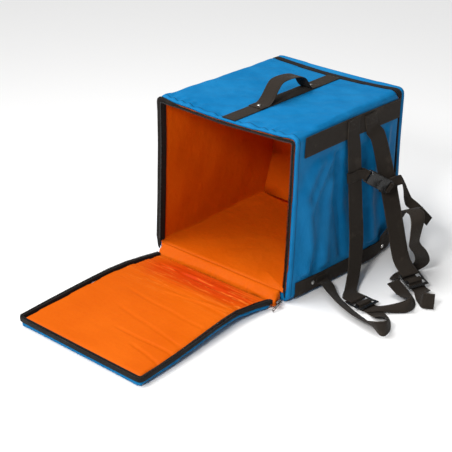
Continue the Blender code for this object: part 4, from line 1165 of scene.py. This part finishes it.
# A place on the top, beside the middle of the handle's webbing.
def topPlace(side, y):
    return (bodyValues["handleX"] + side, y, stitchValues["topZ"])


def footBox(near, far):
    half = stitchValues["footHalf"]
    return sewnBox(*[topPlace(side, y) for side, y in ((-half, near), (half, near), (half, far), (-half, far))])


# A sewn box at a strap's end: its middle along the bag, half width, two heights and lean to the rear.
def endBox(middle, half, high, low, lean=0.0):
    return sewnBox(*[(stitchValues["strapX"], middle + side * half + (high - z) * lean, z) for side, z in (
        (-1, high), (1, high), (1, low), (-1, low))])


half, hemY = stitchValues["baseHalf"], stitchValues["hemY"]
baseLines = [[topPlace(side, y) for y in stitchValues["base"]] for side in (-half, half)]
hemLines = (
    ((0.208, hemY, 0.05), (0.208, hemY, 0.23), (0.208, hemY, 0.4)),
    ((-0.19, hemY, 0.425), (-0.015, hemY, 0.425)), ((0.034, hemY, 0.425), (0.19, hemY, 0.425)),
    ((-0.215, hemY, 0.05), (-0.215, hemY, 0.23), (-0.215, hemY, 0.4)))
sewn = {
    # piece: (what it is sewn on, its lines)
    "upperBandStitches": (topBand, bandLines(0.3616, 0.3475, (0.003, 0.047))),
    "lowerBandStitches": (bottomBand, bandLines(0.0076, 0.0044, (0.0038, 0.035))),
    "handleBaseStitches": (webs["handleBase"], baseLines),
    "handleLoopStitches": (webs["handleLoop"], sum((footBox(*foot) for foot in stitchValues["feet"]), [])),
    "leftStrapStitches": (webs["leftShoulderStrap"], endBox(-0.0046, 0.0215, 0.4, 0.376)),
    "rightStrapStitches": (webs["rightShoulderStrap"], endBox(0.066, 0.02, 0.3925, 0.37, 0.306)),
    "leftLowerStitches": (webs["leftLowerStrap"], endBox(-0.1178, 0.0165, 0.0375, 0.029)),
    "rightLowerStitches": (webs["rightLowerStrap"], endBox(0.1541, 0.0165, 0.048, 0.039)),
}
for name, (piece, lines) in sewn.items():
    stitched(name, surfaceOf(piece), lines, darkThread)
stitched("hemStitches", surfaceOf(bodyPiece), hemLines, blueThread)
print("webbing made")

hardwareValues = {
    # piece: (node, radius of its edges, material, slot, body and segments where they differ)
    "leftLadderLock": ("ladder_lock_left", 0.0011, plastic, "black_plastic"),
    "rightLadderLock": ("ladder_lock_right", 0.0011, plastic, "black_plastic"),
    "buckleSocket": ("buckle_socket", 0.0013, plastic, "black_plastic"),
    "bucklePlug": ("buckle_plug", 0.0013, plastic, "black_plastic"),
    "zipSlider": ("zip_slider", 0.0005, zinc, "grey_metal"),
    "rearZipSlider": ("rear_slider", 0.0005, zinc, "grey_metal"),
    "zipPullTab": ("pull_tab", 0.0004, zinc, "grey_metal", "tab", 2),
}
cornerValues = {"flat": 0.01, "sharp": 0.15, "shade": 40}


# A hard CAD piece with its flat faces made whole and its edges rounded.
def roundedCopy(name, node, edge, material, slot, body="bag", segments=3):
    bm = copyOf(node)
    bmesh.ops.dissolve_limit(bm, angle_limit=cornerValues["flat"], verts=bm.verts, edges=bm.edges)
    roundEdges(bm, cornerValues["sharp"], edge, segments)
    bmesh.ops.triangulate(bm, faces=[face for face in bm.faces if len(face.verts) > 4])
    piece = makePiece(name, bm, material, [node], body)
    piece.data.set_sharp_from_angle(angle=math.radians(cornerValues["shade"]))


for name, values in hardwareValues.items():
    roundedCopy(name, *values)


rivetValues = {
    "radius": 0.0055,
    "height": 0.0022,
    "steps": 32,
    # half of the head's section: shares of the radius and of the height
    "profile": (
        (0.0, 0.92), (0.3, 0.9), (0.52, 0.8), (0.66, 0.58), (0.74, 0.42), (0.82, 0.5), (0.92, 0.48),
        (1.0, 0.26), (0.96, 0.04), (0.9, 0.0), (0.0, 0.0)),
    # piece: (node, way it points)
    "places": {
        "frontBandRivet": ("band_rivet_front", (1, 0, 0)),
        "rearBandRivet": ("band_rivet_rear", (1, 0, 0)),
        "frontHandleRivet": ("handle_rivet_front", (0, 0, 1)),
        "rearHandleRivet": ("handle_rivet_rear", (0, 0, 1)),
    },
}


# A domed rivet head with a rolled rim, spun round its axis.
def rivet(name, node, way):
    low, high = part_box(node)
    way = Vector(way)
    foot = (low + high) / 2 - way * abs((high - low).dot(way)) / 2
    radius, height = rivetValues["radius"], rivetValues["height"]
    bm = bmesh.new()
    verts = [bm.verts.new((radius * a, 0, height * b)) for a, b in rivetValues["profile"]]
    edges = [bm.edges.new(pair) for pair in zip(verts, verts[1:])]
    bmesh.ops.spin(bm, geom=verts + edges, cent=(0, 0, 0), axis=(0, 0, 1), dvec=(0, 0, 0), angle=2 * math.pi,
                   steps=rivetValues["steps"], use_merge=True)
    bmesh.ops.remove_doubles(bm, verts=bm.verts, dist=1e-6)
    bmesh.ops.recalc_face_normals(bm, faces=bm.faces)
    turn = Vector((0, 0, 1)).rotation_difference(way).to_matrix().to_4x4()
    turn.translation = foot
    bmesh.ops.transform(bm, matrix=turn, verts=bm.verts)
    makePiece(name, bm, nickel, [node])


for name, (node, way) in rivetValues["places"].items():
    rivet(name, node, way)
print("hardware made")

floorValues = {"half": 40.0, "drop": 0.0008}


def makeFloor():
    bm = bmesh.new()
    bmesh.ops.create_grid(bm, x_segments=1, y_segments=1, size=floorValues["half"])
    mesh = meshOf("studioFloor", bm)
    mesh.materials.append(floorMaterial())
    mesh.transform(Matrix.Translation((0, 0, -floorValues["drop"])))
    placed("studioFloor", mesh)


makeFloor()
